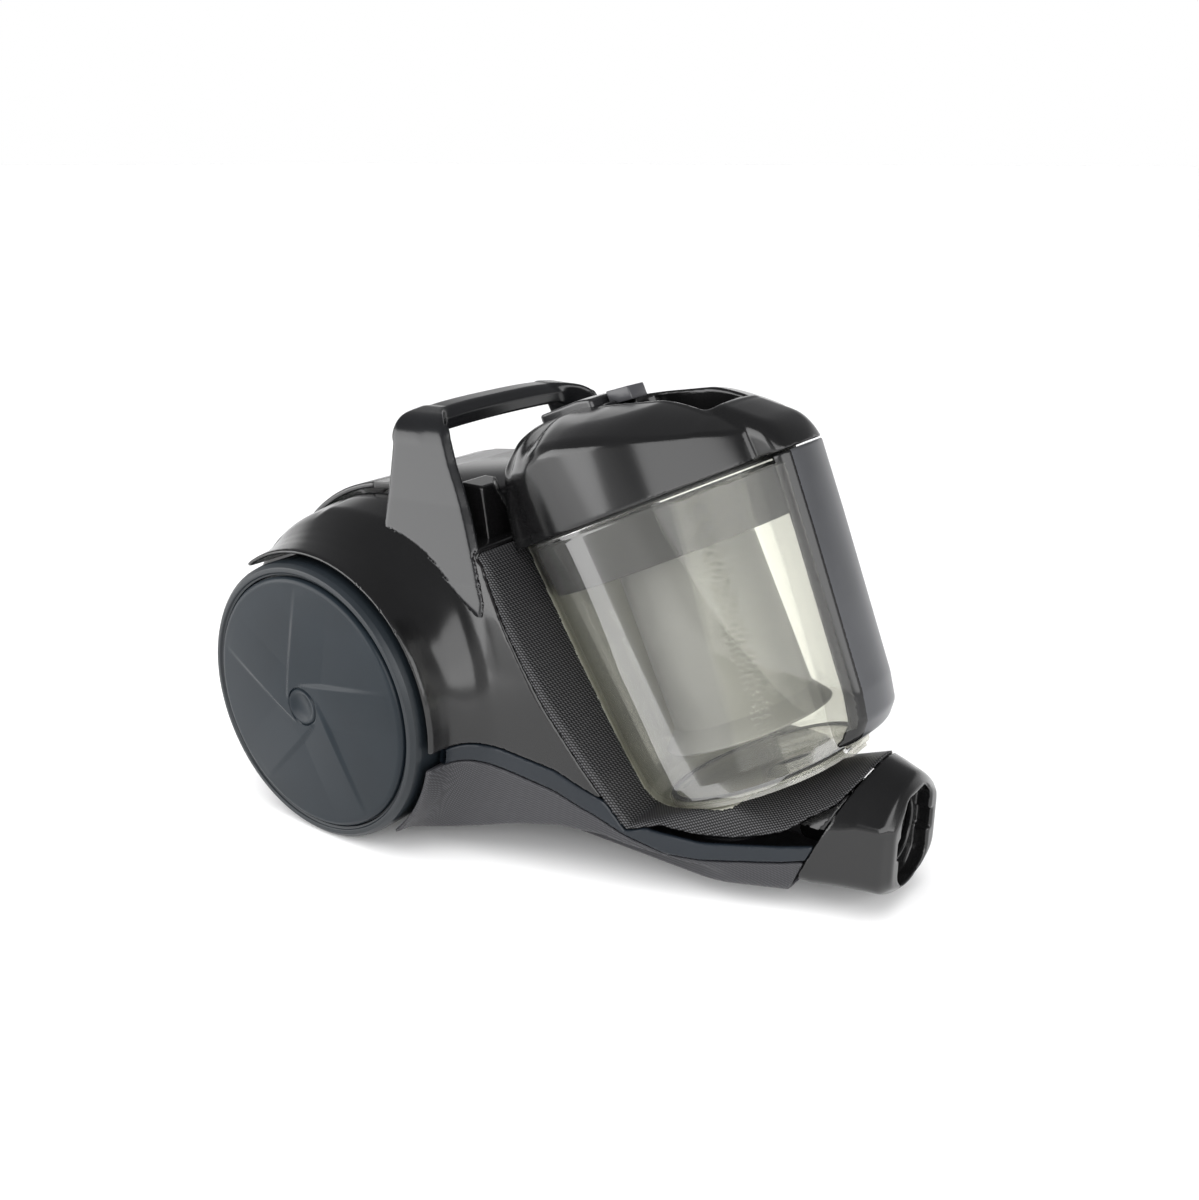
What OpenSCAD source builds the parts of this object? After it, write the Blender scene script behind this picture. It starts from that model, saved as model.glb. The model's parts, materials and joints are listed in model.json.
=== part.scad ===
// Bagless canister vacuum cleaner: two large rear wheels, a swivelling caster under the nose,
// a leaning clear dust bin with a hinged lid and floor, a fixed carry handle and a hose inlet.
// +X points forward to the hose inlet, +Z up. The origin is on the floor, in the middle.

/* [Running gear] */
// Outer radius of the rear wheels
wheel_r = 86; // [84:0.5:87]
// Distance from the middle plane to a tyre's outer edge
track_half = 140; // [139:0.5:142]
// Width of a rear tyre
tyre_w = 36; // [30:1:37]
// Radius of the caster roller
roller_r = 11; // [9:0.5:11.5]
// Trail of the caster roller behind its swivel axis
caster_trail = 8; // [6:0.5:9]

/* [Body] */
// Overall length, from the rear grille to the hose inlet's mouth
length = 426.8; // [425:0.2:428]
// Moulded wall thickness of the body shells
wall = 3; // [2.5:0.1:3.2]
// Distance from the middle plane to the fender lip
fender_half = 134; // [133:0.5:135]
// Height of the body's underside
belly_z = 12; // [11:0.5:12.5]

/* [Dust bin] */
// Forward lean of the bin's axis from the vertical
bin_tilt = 26; // [25.5:0.1:26.5]
// Radius of the clear cup at the lid seam
cup_r = 82.8; // [82:0.1:83]
// Depth of the clear cup below the seam
cup_depth = 166; // [165:0.5:167]
// Wall thickness of the clear cup
cup_wall = 2.2; // [1.8:0.1:2.6]
// Radius of the cyclone shroud
shroud_r = 41; // [36:1:44]

/* [Hose inlet] */
// Radius of the bore that takes the hose end
socket_r = 17.5; // [16:0.5:17.5]
// Depth of the hose bore behind its seal
socket_len = 42; // [38:1:42]

/* [Hidden] */

$fn = 96;
front_x = length / 2;
// The wheel axle's place; most of the body is laid out from the axle line
axle_x = -110;
nose_x = front_x - axle_x;
tail_x = -front_x - axle_x;

// Barrel of the body: radius about the axle line at each distance from the middle plane
barrel = [[0, 112], [40, 111.4], [70, 109.4], [90, 106.6], [97, 104], [103, 101], [110, 97.4],
    [118, 94.8], [126, 93], [fender_half, 92]];
// Side outline of the front body: belly, seam with the snout, shelf, elbow and cradle rim
rim_x0 = 95;
rim_z0 = 180;
elbow = [190.7, 43.3];
snout_top = [302, 85];
side_outline = [[-20, belly_z], [271.4, belly_z], snout_top, [262, 69], elbow, [rim_x0, rim_z0],
    [88, 184], [30, 184], [-20, 120]];
// Half width of the front body along its length
plan_half = [[20, 126], [31, 124], [50, 118], [70, 112], [92, 106.5], [110, 103], [136, 98],
    [165, 92], [187, 85], [211, 76], [239, 64], [268, 51], [291, 41.5], [305, 36.5]];
// Half width of the front body by height
height_half = [[0, 126], [60, 124], [90, 108], [120, 99], [150, 94], [184, 86]];
// Lower edge of the side walls, arching between the fender tip and the snout
arch = [[24, -40], [33, 3], [69, 11], [96, 20], [122, 28], [150, 34], [175, 34], [195, 29], [222, 24],
    [250, 19], [272, 15], [290, -40]];
// Upper and lower edges of the dark side band
band_top = [[60, 66], [76, 74], [96, 77], [117, 75], [149, 69], [179, 55], [200, 42], [229, 38],
    [268, 41], [310, 52]];
band_low = [[310, 40], [268, 30], [229, 27], [211, 28], [190, 36], [172, 46], [149, 56], [122, 62],
    [96, 66], [76, 67], [60, 62]];

// Bin frame: origin at the middle of the lid seam, local +Z along the bin's axis towards the lid
seam_x = 157.6;
seam_z = 207.6;
cup_profile = [[0, cup_r], [60, 78.4], [130, 73], [152, 70], [160, 66.5], [cup_depth, 60]];
floor_r = 58;
strip_half = 23;
lid_top_outline = [[-100, -4], [-100, 44], [-62.5, 44], [-52.4, 65.5], [-20, 64], [8, 58], [40, 50.5],
    [70, 37], [90, 22], [99, 10], [100, -4]];
hinge_u = -87;
hinge_w = -2.5;
floor_hinge_u = 63;
floor_hinge_w = -163;

// Dirty-air port in the bin's floor, and the depth of the hose mouth's keyed recess
port_u = 20;
mouth_depth = 9;
seal_gap = 4.4;
bore_end = nose_x - mouth_depth - seal_gap - 4;

// Motor and reel places, from the axle line
motor_y = -20;
motor_z = 95;
reel_x = -18;
reel_z = 98;
caster_x = 205;
grille_hinge = [tail_x + 5, 43.6];

// ---------------------------------------------------------------- shared helpers
// Axle frame: origin on the floor under the axle
module at_axle() { translate([axle_x, 0, 0]) children(); }
module at_bin() { at_axle() translate([seam_x, 0, seam_z]) rotate([0, -bin_tilt, 0]) children(); }
// Extrude an XZ outline along Y between two distances
module along_y(y0, y1) { translate([0, y1, 0]) rotate([90, 0, 0]) linear_extrude(y1 - y0) children(); }
// Cylinder along Y and along X
module rod_y(r, y0, y1) { translate([0, y0, 0]) rotate([-90, 0, 0]) cylinder(r = r, h = y1 - y0); }
module rod_x(r, x0, x1) { translate([x0, 0, 0]) rotate([0, 90, 0]) cylinder(r = r, h = x1 - x0); }
module both_sides() { children(); mirror([0, 1, 0]) children(); }
module slab(x, y, z) {
    translate([x[0], y[0], z[0]]) cube([x[1] - x[0], y[1] - y[0], z[1] - z[0]]);
}
// Round ring about the local Z axis
module ring(r_out, r_in, h) {
    difference() {
        cylinder(r = r_out, h = h);
        translate([0, 0, -1]) cylinder(r = r_in, h = h + 2);
    }
}

// ---------------------------------------------------------------- body solids
// Solid of revolution about the axle line; t shrinks it all round
module barrel_solid(t) {
    half = fender_half - (t > 0 ? 42 : 0);
    side = [for (p = barrel) if (p[0] <= half) [p[1] - t, p[0]]];
    last = [side[len(side) - 1][0], half];
    translate([0, 0, wheel_r]) rotate([-90, 0, 0]) rotate_extrude()
        polygon(concat([[0, half]], [last], [for (i = [len(side) - 1:-1:0]) side[i]],
            [for (i = [1:len(side) - 1]) [side[i][0], -side[i][1]]], [[last[0], -half]], [[0, -half]]));
}
// Front body as the overlap of its side, plan and front outlines
module front_solid(t) {
    intersection() {
        along_y(-130, 130) offset(delta = -t) polygon(side_outline);
        translate([0, 0, -5]) linear_extrude(250) offset(delta = -t) polygon(concat(plan_half,
            [for (i = [len(plan_half) - 1:-1:0]) [plan_half[i][0], -plan_half[i][1]]]));
        translate([-40, 0, 0]) rotate([90, 0, 90]) linear_extrude(400) offset(delta = -t)
            polygon(concat([for (p = height_half) [p[1], p[0]]],
                [for (i = [len(height_half) - 1:-1:0]) [-height_half[i][1], height_half[i][0]]]));
    }
}
// Everything behind and below the fenders where the wheels stand free
module wheel_clearance(t) {
    both_sides() {
        translate([0, 0, wheel_r]) rod_y(wheel_r + 3.5 + t, 96 - t, 150);
        along_y(96 - t, 150) polygon([[t, wheel_r], [-90 + t, 206], [-300, 206], [-300, -60],
            [33.3 + t, -60], [33.3 + t, 3], [31 + t, 6]]);
        along_y(60 - t, 150) translate([0, t, 0]) polygon(arch);
    }
}
module body_solid(t) {
    difference() {
        union() {
            barrel_solid(t);
            front_solid(t);
        }
        slab([-200, tail_x + 3.4 + t], [-150, 150], [-60, 250]);
        slab([-150, 300], [-96, 96], [-60, belly_z + t]);
        wheel_clearance(t);
    }
}
module body_shell() {
    difference() {
        body_solid(0);
        body_solid(wall);
    }
}
// Room for the bin, with a little clearance
module bin_room(gap) {
    translate([seam_x, 0, seam_z]) rotate([0, -bin_tilt, 0]) {
        rotate_extrude() polygon(concat([[0, 60], [cup_r + gap, 60]],
            [for (p = cup_profile) [p[1] + gap, -p[0]]], [[0, -cup_depth - 3 - gap]]));
        translate([0, 0, -cup_depth - 3 - gap]) cylinder(r = 60 + gap, h = 20);
    }
}
// Straight-up travel of the hinge ears behind the bin
module hinge_room() { slab([71, 96], [-22, 22], [158, 260]); }
// Front zone that the cradle trim covers: ahead of the rim, above the band
module trim_zone(back) {
    along_y(-130, 130) polygon([[rim_x0 - back, 230], [rim_x0 - back, rim_z0],
        [elbow[0] - back - 6, elbow[1] - 0.5], [200, 42], [229, 38], [268, 41], [320, 54], [320, 230]]);
}
module band_zone() { along_y(-130, 130) polygon(concat(band_top, band_low)); }
// Everything above the band, and everything above its lower edge
module above_band() {
    along_y(-140, 140) polygon(concat([[-150, 56], [60, 56]], band_top, [[310, 260], [-150, 260]]));
}
module above_chassis() {
    along_y(-140, 140) polygon(concat([[-150, 56], [60, 56]],
        [for (i = [len(band_low) - 1:-1:0]) band_low[i]], [[310, 260], [-150, 260]]));
}
// Forward limit of the body shells: the slanted seam plane of the snout
module snout_zone(gap) {
    along_y(-60, 60) polygon([[266.8 + gap, 1], [310.3 + gap, 105], [360, 105], [360, 1]]);
}

// ---------------------------------------------------------------- body shells
module lower_chassis() color("#47474b") at_axle() {
    difference() {
        body_shell();
        above_chassis();
        snout_zone(0);
        duct_room(0.4);
        translate([caster_x, 0, 0]) cylinder(r = 25, h = 30);
        slab([tail_x - 5, tail_x + 8], [-52, 52], [40, 140]);
        translate([grille_hinge[0], 0, grille_hinge[1]]) rod_y(1.5, -54.2, 54.2);
        translate([-60, -68, 0]) screw_holes();
    }
    // Caster well
    difference() {
        translate([caster_x, 0, belly_z]) ring(28, 25, 17);
        bin_room(2.6);
    }
    // Bearing walls of the wheel axles
    both_sides() difference() {
        slab([-26, 26], [78, 91.8], [belly_z + wall - 0.5, 106]);
        translate([0, 0, wheel_r]) rod_y(6, 70, 110);
    }
}
module screw_holes() {
    for (x = [0, 90]) for (y = [0, 136]) translate([x, y, belly_z - 1]) cylinder(r = 2.2, h = 6);
}
module side_bands() color("#262b30") at_axle() {
    intersection() {
        difference() {
            body_shell();
            snout_zone(0);
        }
        difference() {
            band_zone();
            slab([0, 320], [-30, 30], [0, 100]);
            bin_room(1);
        }
    }
}
module upper_housing() color("#2a2a2c") at_axle() {
    difference() {
        intersection() {
            union() {
                body_shell();
                // Block that the hinge pocket is sunk into
                intersection() {
                    body_solid(0);
                    slab([60, 100], [-25, 25], [154, 190]);
                }
            }
            above_band();
        }
        trim_zone(4);
        bin_room(3.8);
        hinge_room();
        slab([tail_x - 5, tail_x + 8], [-52, 52], [40, 140]);
        // Deck opening under the panel and the pedals
        slab([-92, 67], [-58, 58], [120, 230]);
        translate([0, 0, wheel_r]) rod_y(6.3, -110, 110);
        translate([0, 68, 84]) rod_x(9.1, tail_x - 2, tail_x + 12);
    }
}
module cradle_trim() color("#1d1d1f") at_axle() {
    difference() {
        union() {
            intersection() {
                body_shell();
                trim_zone(4);
            }
            // Rim web and pocket wall around the bin
            intersection() {
                body_solid(0.4);
                union() {
                    intersection() {
                        trim_zone(4);
                        along_y(-130, 130) polygon([[rim_x0 - 3, 230], [rim_x0 - 3, rim_z0],
                            [elbow[0] - 4, elbow[1] - 6], [elbow[0], elbow[1]], [rim_x0, rim_z0],
                            [rim_x0, 230]]);
                    }
                    difference() {
                        bin_room(3.4);
                        slab([-20, 320], [-120, 120], [186, 400]);
                    }
                    intersection() {
                        trim_zone(4);
                        slab([186, 320], [-90, 90], [20, 100]);
                        body_shell();
                    }
                }
            }
        }
        bin_room(0.8);
        hinge_room();
        snout_zone(0);
        barrel_core();
        translate([caster_x, 0, 0]) cylinder(r = 28.4, h = 30);
        duct_room(0.4);
        // Band and chassis show below the trim, on the outer skin only
        difference() {
            union() {
                band_zone();
                difference() {
                    slab([60, 320], [-140, 140], [-20, 100]);
                    above_chassis();
                }
            }
            body_solid(wall + 0.2);
        }
    }
}
// The barrel inside the cradle, which the pocket wall stops short of
module barrel_core() {
    translate([0, 0, wheel_r]) rod_y(112.3, -92, 92);
}
module deck_panel() color("#232325") at_axle() {
    difference() {
        along_y(-57.5, 57.5) polygon([[-20, 190], [-20, 201], [0, 203.4], [30, 205], [58, 203.5],
            [64, 202], [66.6, 198], [66.6, 176], [60, 176]]);
        along_y(-54.7, 54.7) polygon([[-30, 190], [-17.2, 198.2], [0, 200.6], [30, 202.2],
            [58, 200.7], [62, 199.8], [63.8, 197], [63.8, 170], [40, 170]]);
        translate([0, 0, wheel_r]) rod_y(112.4, -70, 70);
        slab([60, 70], [-19, 19], [187, 196]);
    }
    // Rib between the two pedals
    difference() {
        intersection() {
            translate([0, 0, wheel_r]) rod_y(116.5, -3.2, 3.2);
            slab([-90, -18], [-3.2, 3.2], [120, 240]);
        }
        translate([0, 0, wheel_r]) rod_y(112.4, -70, 70);
    }
}

// ---------------------------------------------------------------- carry handle
// Corner blocks of a leg from the deck up: [rear x, front x, inner y, outer y, height, thickness]
leg_foot = [24, 86, 84, 95, 188, 2];
leg_knee = [22, 61, 51, 79, 234, 2];
leg_head = [22, 53, 50, 71, 249, 3];
module leg_block(b) {
    translate([b[0], b[2], b[4]]) cube([b[1] - b[0], b[3] - b[2], b[5]]);
}
module handle_leg() {
    hull() {
        leg_block(leg_head);
        leg_block(leg_knee);
    }
    hull() {
        leg_block(leg_knee);
        leg_block(leg_foot);
    }
    // Pointed foot that runs down along the barrel
    hull() {
        leg_block(leg_foot);
        leg_block([98, 101.4, 90, 95.6, 158, 1]);
        leg_block([30, 70, 88, 95.6, 168, 1]);
    }
}
module carry_handle() color("#2b2c2e") at_axle() difference() {
    union() {
        // Bar, slightly bowed
        translate([22, 0, 0]) rotate([90, 0, 90]) linear_extrude(15)
            polygon([[-66, 240], [0, 241], [66, 240], [68, 250], [60, 252], [30, 253.8], [0, 254.4],
                [-30, 253.8], [-60, 252], [-68, 250]]);
        both_sides() handle_leg();
    }
    barrel_keep();
    front_solid(-0.05);
}
module barrel_keep() {
    side = barrel;
    translate([0, 0, wheel_r]) rotate([-90, 0, 0]) rotate_extrude()
        polygon(concat([[0, 134]], [for (i = [len(side) - 1:-1:0]) [side[i][1] + 0.05, side[i][0]]],
            [for (i = [1:len(side) - 1]) [side[i][1] + 0.05, -side[i][0]]], [[0, -134]]));
}

// ---------------------------------------------------------------- hose inlet and air path
module octagon(w, h, c) {
    polygon([[-w + c, -h], [w - c, -h], [w, -h + c], [w, h - c], [w - c, h], [-w + c, h], [-w, h - c],
        [-w, -h + c]]);
}
module inlet_snout() color("#2b2b2d") at_axle() {
    difference() {
        union() {
            intersection() {
                hull() {
                    translate([250, 0, 47]) rotate([90, 0, 90]) linear_extrude(1) octagon(52, 36, 16);
                    translate([nose_x - 1, 0, 44]) rotate([90, 0, 90]) linear_extrude(1)
                        octagon(32, 33, 12);
                }
                snout_zone(0.3);
            }
            translate([0, 0, 44]) rod_x(20.4, bore_end - socket_len, nose_x - 20);
        }
        translate([0, 0, 44]) rod_x(socket_r, 240, bore_end + 1);
        translate([0, 0, 44]) rod_x(socket_r + 1, bore_end + 1, nose_x + 1);
        // Keyed mouth
        translate([nose_x - mouth_depth, 0, 43]) rotate([90, 0, 90]) linear_extrude(12)
            octagon(20, 27, 9);
        translate([nose_x - mouth_depth, 0, 44]) rotate([90, 0, 90]) linear_extrude(12)
            square([46, 12], center = true);
        // Seat of the seal
        translate([0, 0, 44]) rod_x(socket_r + 2.6, bore_end, bore_end + 4);
    }
}
module snout_seal() color("#151515") at_axle() {
    translate([bore_end, 0, 44]) rotate([0, 90, 0]) ring(socket_r + 2.6, socket_r + 0.1, 4);
}
// Space of the dirty-air duct between the snout and the bin's floor
module duct_room(gap) {
    translate([0, 0, 44]) rod_x(20.4 + gap, 241, 300);
    riser(17.4 + gap);
}
// Riser from the duct up to the port in the bin's floor
module riser(r) {
    translate([seam_x, 0, seam_z]) rotate([0, -bin_tilt, 0])
        translate([port_u, 0, -cup_depth - 24]) cylinder(r = r, h = 23);
}
module inlet_duct() color("#3a3a3d") at_axle() {
    difference() {
        intersection() {
            union() {
                translate([0, 0, 44]) rod_x(20, 241.4, bore_end - socket_len - 0.4);
                riser(17);
            }
            below_floor(1.2);
            slab([200, bore_end - socket_len - 0.4], [-40, 40], [23, 90]);
        }
        // Narrower than the socket, so the hose end stops against it
        translate([0, 0, 44]) rod_x(socket_r - 1.5, 244, 300);
        riser(14.6);
    }
}
// Half-space under the bin's floor plane, shifted down by gap
module below_floor(gap) {
    translate([seam_x, 0, seam_z]) rotate([0, -bin_tilt, 0])
        translate([-150, -60, -cup_depth - 3 - gap - 200]) cube([300, 120, 200]);
}
module duct_gasket() color("#161616") at_axle() {
    difference() {
        translate([seam_x, 0, seam_z]) rotate([0, -bin_tilt, 0])
            translate([port_u, 0, -cup_depth - 4.2]) ring(17, 14.6, 1.3);
        slab([bore_end - socket_len, 320], [-60, 60], [0, 100]);
    }
}
// Clean-air duct from the lid's outlet down to the motor
module intake_duct() color("#2f2f32") at_axle() {
    difference() {
        union() {
            slab([30, 63.4], [-22, 22], [158, 197.4]);
            slab([46.4, 63.4], [-43, 22], [72, 164]);
        }
        slab([33, 70], [-19, 19], [161, 194.4]);
        slab([49, 61], [-40, 19], [75, 170]);
        translate([0, motor_y, motor_z]) rod_x(20, 40, 55);
    }
}
module intake_gasket() color("#141414") at_axle() {
    difference() {
        slab([66.8, 70.6], [-22, 22], [184.5, 198]);
        slab([66, 72], [-19, 19], [187, 196]);
    }
}

// ---------------------------------------------------------------- motor, reel and electrics
module motor_bucket() color("#38383b") at_axle() translate([0, motor_y, motor_z]) {
    difference() {
        union() {
            rod_x(55, -66, 46);
            slab([-40, 30], [-30, 30], [belly_z + wall - motor_z, -40]);
        }
        rod_x(52, -63, 43);
        rod_x(22, 30, 60);
        rod_x(26, -70, -50);
    }
}
module motor_mounts() color("#181818") at_axle() translate([0, motor_y, motor_z]) {
    translate([34, 0, 0]) rotate([0, 90, 0]) ring(52, 40, 5);
    translate([-63, 0, 0]) rotate([0, 90, 0]) ring(40, 28, 5);
}
module motor_stator() color("#8d8a84") at_axle() translate([0, motor_y, motor_z]) {
    // Fan case in front, field coil case behind
    difference() {
        union() {
            rod_x(50, 8, 34);
            rod_x(41, -58, 8);
        }
        rod_x(47, 11, 31);
        rod_x(31, -52, 20);
        rod_x(20, 20, 40);
        rod_x(9.5, -70, -30);
        for (a = [0:45:315]) rotate([a, 0, 0]) translate([-48, -4, 30]) cube([30, 8, 20]);
    }
}
module motor_bearings() color("#b5b5b8") at_axle() translate([0, motor_y, motor_z]) {
    translate([-58, 0, 0]) rotate([0, 90, 0]) ring(9.5, 4.04, 6);
    difference() {
        rod_x(31, -8, -4);
        rod_x(4.04, -10, 0);
    }
}
module motor_shaft() color("#c9cacc") at_axle() translate([0, motor_y, motor_z]) rod_x(4, -60, 28);
module motor_armature() color("#9c6b3c") at_axle() translate([0, motor_y, motor_z]) {
    difference() {
        union() {
            rod_x(26, -40, -14);
            rod_x(12, -50, -40);
        }
        rod_x(4, -60, 0);
        for (a = [0:30:330]) rotate([a, 0, 0]) translate([-41, -1.2, 21]) cube([28, 2.4, 6]);
    }
}
module fan_impeller() color("#b9babd") at_axle() translate([0, motor_y, motor_z]) {
    difference() {
        union() {
            rod_x(44, 13, 14.5);
            rod_x(8, 13, 26);
            for (a = [0:40:320]) rotate([a, 0, 0]) translate([14, -0.7, 7]) cube([11, 1.4, 36]);
        }
        rod_x(4, 0, 40);
    }
}
module circuit_board() color("#2f6b3f") at_axle() {
    slab([-76, -30], [-50, -6], [152, 153.6]);
    slab([-70, -58], [-44, -32], [153.6, 162]);
    slab([-50, -40], [-30, -20], [153.6, 160]);
}
module mains_switch() color("#1a1a1a") at_axle() {
    slab([-62, -46], [14, 32], [148, 160]);
    slab([-56, -52], [20, 26], [160, 180]);
}
module reel_shaft() color("#a8a9ac") at_axle() translate([reel_x, 0, reel_z]) {
    rod_y(5, 38, 77.9);
    difference() {
        slab([-14, 14], [36.4, 40], [belly_z + wall - reel_z, 14]);
        rod_y(5, 38, 60);
    }
}
module cord_drum() color("#7d7d80") at_axle() translate([reel_x, 0, reel_z]) difference() {
    union() {
        rod_y(50, 42, 44);
        rod_y(50, 67.5, 69.5);
        rod_y(24, 42, 69.5);
    }
    rod_y(5.05, 30, 90);
    for (a = [0:60:300]) rotate([0, a, 0]) translate([37, 0, 0]) rod_y(6, 30, 90);
}
module exhaust_filter() color("#d9d9d2") at_axle() difference() {
    slab([tail_x + 12, tail_x + 24], [-48, 48], [46, 134]);
    for (y = [-44:8:44]) slab([tail_x + 11, tail_x + 20], [y - 2, y + 2], [50, 130]);
}
module cord_outlet() color("#1c1c1c") at_axle() translate([0, 68, 84]) difference() {
    union() {
        rod_x(9, tail_x + 3.5, tail_x + 14);
        rod_x(12, tail_x + 6.6, tail_x + 9);
    }
    rod_x(5, tail_x - 5, tail_x + 20);
}
module chassis_screws() color("#8f9093") at_axle() translate([-60, -68, 0]) {
    for (x = [0, 90]) for (y = [0, 136]) translate([x, y, belly_z - 0.8]) {
        cylinder(r = 3.6, h = 0.8);
        cylinder(r = 2, h = 12);
    }
}

// ---------------------------------------------------------------- rear wheels
module wheel_axles() color("#b7b8bb") at_axle() both_sides() translate([0, 0, wheel_r]) {
    rod_y(6, 77.6, 134);
    rod_y(9, 75.6, 77.6);
}
module wheel_rim() translate([0, 0, wheel_r]) difference() {
    union() {
        rod_y(76, 102, 107);
        rod_y(14, 98, 132);
        difference() {
            rod_y(78, 102, 136);
            rod_y(73, 107, 140);
        }
        for (a = [0:45:315]) rotate([0, a, 0]) slab([12, 75], [106, 126], [-1.2, 1.2]);
    }
    rod_y(6.05, 90, 140);
}
module wheel_tyre() translate([0, 0, wheel_r]) difference() {
    rotate([-90, 0, 0]) rotate_extrude() {
        polygon([[78, track_half - tyre_w], [84, track_half - tyre_w], [wheel_r, track_half - tyre_w + 3],
            [wheel_r, track_half - 4], [84.6, track_half - 1], [82, track_half], [78, track_half]]);
    }
    for (a = [0:10:350]) rotate([0, a, 0]) translate([wheel_r - 0.8, 110, -1.5]) cube([2, 22, 3]);
}
module hub_cap() translate([0, 0, wheel_r]) difference() {
    union() {
        rotate([-90, 0, 0]) rotate_extrude()
            polygon([[0, 138.4], [77.6, 136.3], [77.6, 139], [72, 141.8], [40, 144], [10, 145], [10, 144],
                [8, 143.4], [0, 143.4]]);
        for (a = [22.5:45:337.5]) rotate([0, a, 0]) rod_clip(64);
    }
    for (a = [0:60:300]) rotate([0, a, 0]) translate([26, 146.2, -20]) rotate([0, -24, 0]) cube([44, 4, 3]);
}
module rod_clip(r) { translate([r, 0, 0]) rod_y(3, 126.5, 139); }
module wheel_rim_right() color("#24282c") at_axle() mirror([0, 1, 0]) wheel_rim();
module wheel_rim_left() color("#24282c") at_axle() wheel_rim();
module wheel_tyre_right() color("#1e2226") at_axle() mirror([0, 1, 0]) wheel_tyre();
module wheel_tyre_left() color("#1e2226") at_axle() wheel_tyre();
module hub_cap_right() color("#2b3136") at_axle() mirror([0, 1, 0]) hub_cap();
module hub_cap_left() color("#2b3136") at_axle() hub_cap();

// ---------------------------------------------------------------- caster
module at_roller() { at_axle() translate([caster_x - caster_trail, 0, roller_r]) children(); }
module caster_socket() color("#3c3c40") at_axle() translate([caster_x, 0, 25.2]) {
    difference() {
        union() {
            cylinder(r = 9, h = 9);
            ring(24.8, 8, 2.4);
        }
        translate([0, 0, -1]) cylinder(r = 4.05, h = 9);
    }
}
module caster_fork() color("#303033") {
    at_axle() translate([caster_x, 0, 22.6]) cylinder(r = 4, h = 9);
    at_axle() translate([caster_x, 0, 22.6]) cylinder(r = 13, h = 2.2);
    difference() {
        union() {
            at_roller() translate([0, 0, 0]) slab([-6, 14], [9.6, 12], [-5, 12]);
            at_roller() translate([0, 0, 0]) slab([-6, 14], [-12, -9.6], [-5, 12]);
            at_roller() slab([-6, 14], [-12, 12], [11.6, 13.8]);
        }
        at_roller() rod_y(2, -20, 20);
    }
}
module caster_axle() color("#bdbec0") at_roller() rod_y(2, -12.6, 12.6);
module caster_roller() color("#202225") at_roller() difference() {
    rotate([-90, 0, 0]) translate([0, 0, -9]) rotate_extrude()
        polygon([[0, 0], [9.5, 0], [roller_r, 1.5], [roller_r, 16.5], [9.5, 18], [0, 18]]);
    rod_y(2.05, -20, 20);
}

// ---------------------------------------------------------------- dust bin
module bin_cup() color("#d8d8c8", 0.45) {
    at_bin() difference() {
        rotate_extrude() polygon(concat([for (p = cup_profile) [p[1], -p[0]]],
            [[floor_r + 0.9, -cup_depth], [floor_r + 0.9, -cup_depth + 3]],
            [for (i = [len(cup_profile) - 1:-1:0])
                [cup_profile[i][1] - cup_wall, -min(cup_profile[i][0], cup_depth - 3)]]));
        // Notch for the floor's hinge knuckle
        slab([52, 72], [-9, 9], [-cup_depth - 4, floor_hinge_w + 4.2]);
        translate([floor_hinge_u, 0, floor_hinge_w]) rod_y(1.3, -15, 15);
    }
    // Ears that carry the lid's hinge pin
    at_bin() for (y = [-16, 11]) difference() {
        union() {
            translate([hinge_u, 0, hinge_w]) rod_y(4.2, y, y + 5);
            slab([hinge_u, -80.6], [y, y + 5], [hinge_w - 4.2, hinge_w + 1.5]);
        }
        translate([hinge_u, 0, hinge_w]) rod_y(1.5, -30, 30);
    }
    // Ears of the floor's hinge under the front strip
    at_bin() for (y = [-14, 9]) difference() {
        union() {
            translate([floor_hinge_u, 0, floor_hinge_w]) rod_y(3.6, y, y + 5);
            slab([floor_hinge_u - 1, 70], [y, y + 5], [floor_hinge_w, floor_hinge_w + 9]);
        }
        translate([floor_hinge_u, 0, floor_hinge_w]) rod_y(1.25, -30, 30);
        rotate_extrude() polygon(concat([[0, 5]], [for (p = cup_profile) [p[1] - 0.2, -p[0]]], [[0, -cup_depth]]));
    }
}
module front_strip() color("#4a4b4f") at_bin() difference() {
    along_y(-strip_half, strip_half) polygon([[60, -1], [100, -1], [97.5, -40], [90.8, -132], [88, -148],
        [82, -156], [74, -160], [60, -150]]);
    rotate_extrude() polygon(concat([[0, 40], [cup_r + 0.3, 40]],
        [for (p = cup_profile) [p[1] + 0.3, -p[0]]], [[0, -cup_depth - 4]]));
    along_y(-strip_half + 3, strip_half - 3) polygon([[60, -4], [97, -4], [94.5, -40], [87.8, -132],
        [85, -147], [80.5, -153.4], [76, -156], [60, -150]]);
    slab([50, 74], [-15, 15], [-cup_depth - 4, floor_hinge_w + 11]);
}
module cyclone_skirt() color("#3d3e40") at_bin() difference() {
    union() {
        translate([0, 0, -32]) difference() {
            cylinder(r1 = 77.6, r2 = 79.8, h = 30);
            translate([0, 0, -1]) cylinder(r1 = 75.4, r2 = 77.8, h = 32);
        }
        translate([0, 0, -30]) ring(77, shroud_r - 4, 2.4);
    }
    for (a = [0:30:330]) rotate([0, 0, a]) translate([56, 0, -32]) cylinder(r = 6, h = 6);
}
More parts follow.
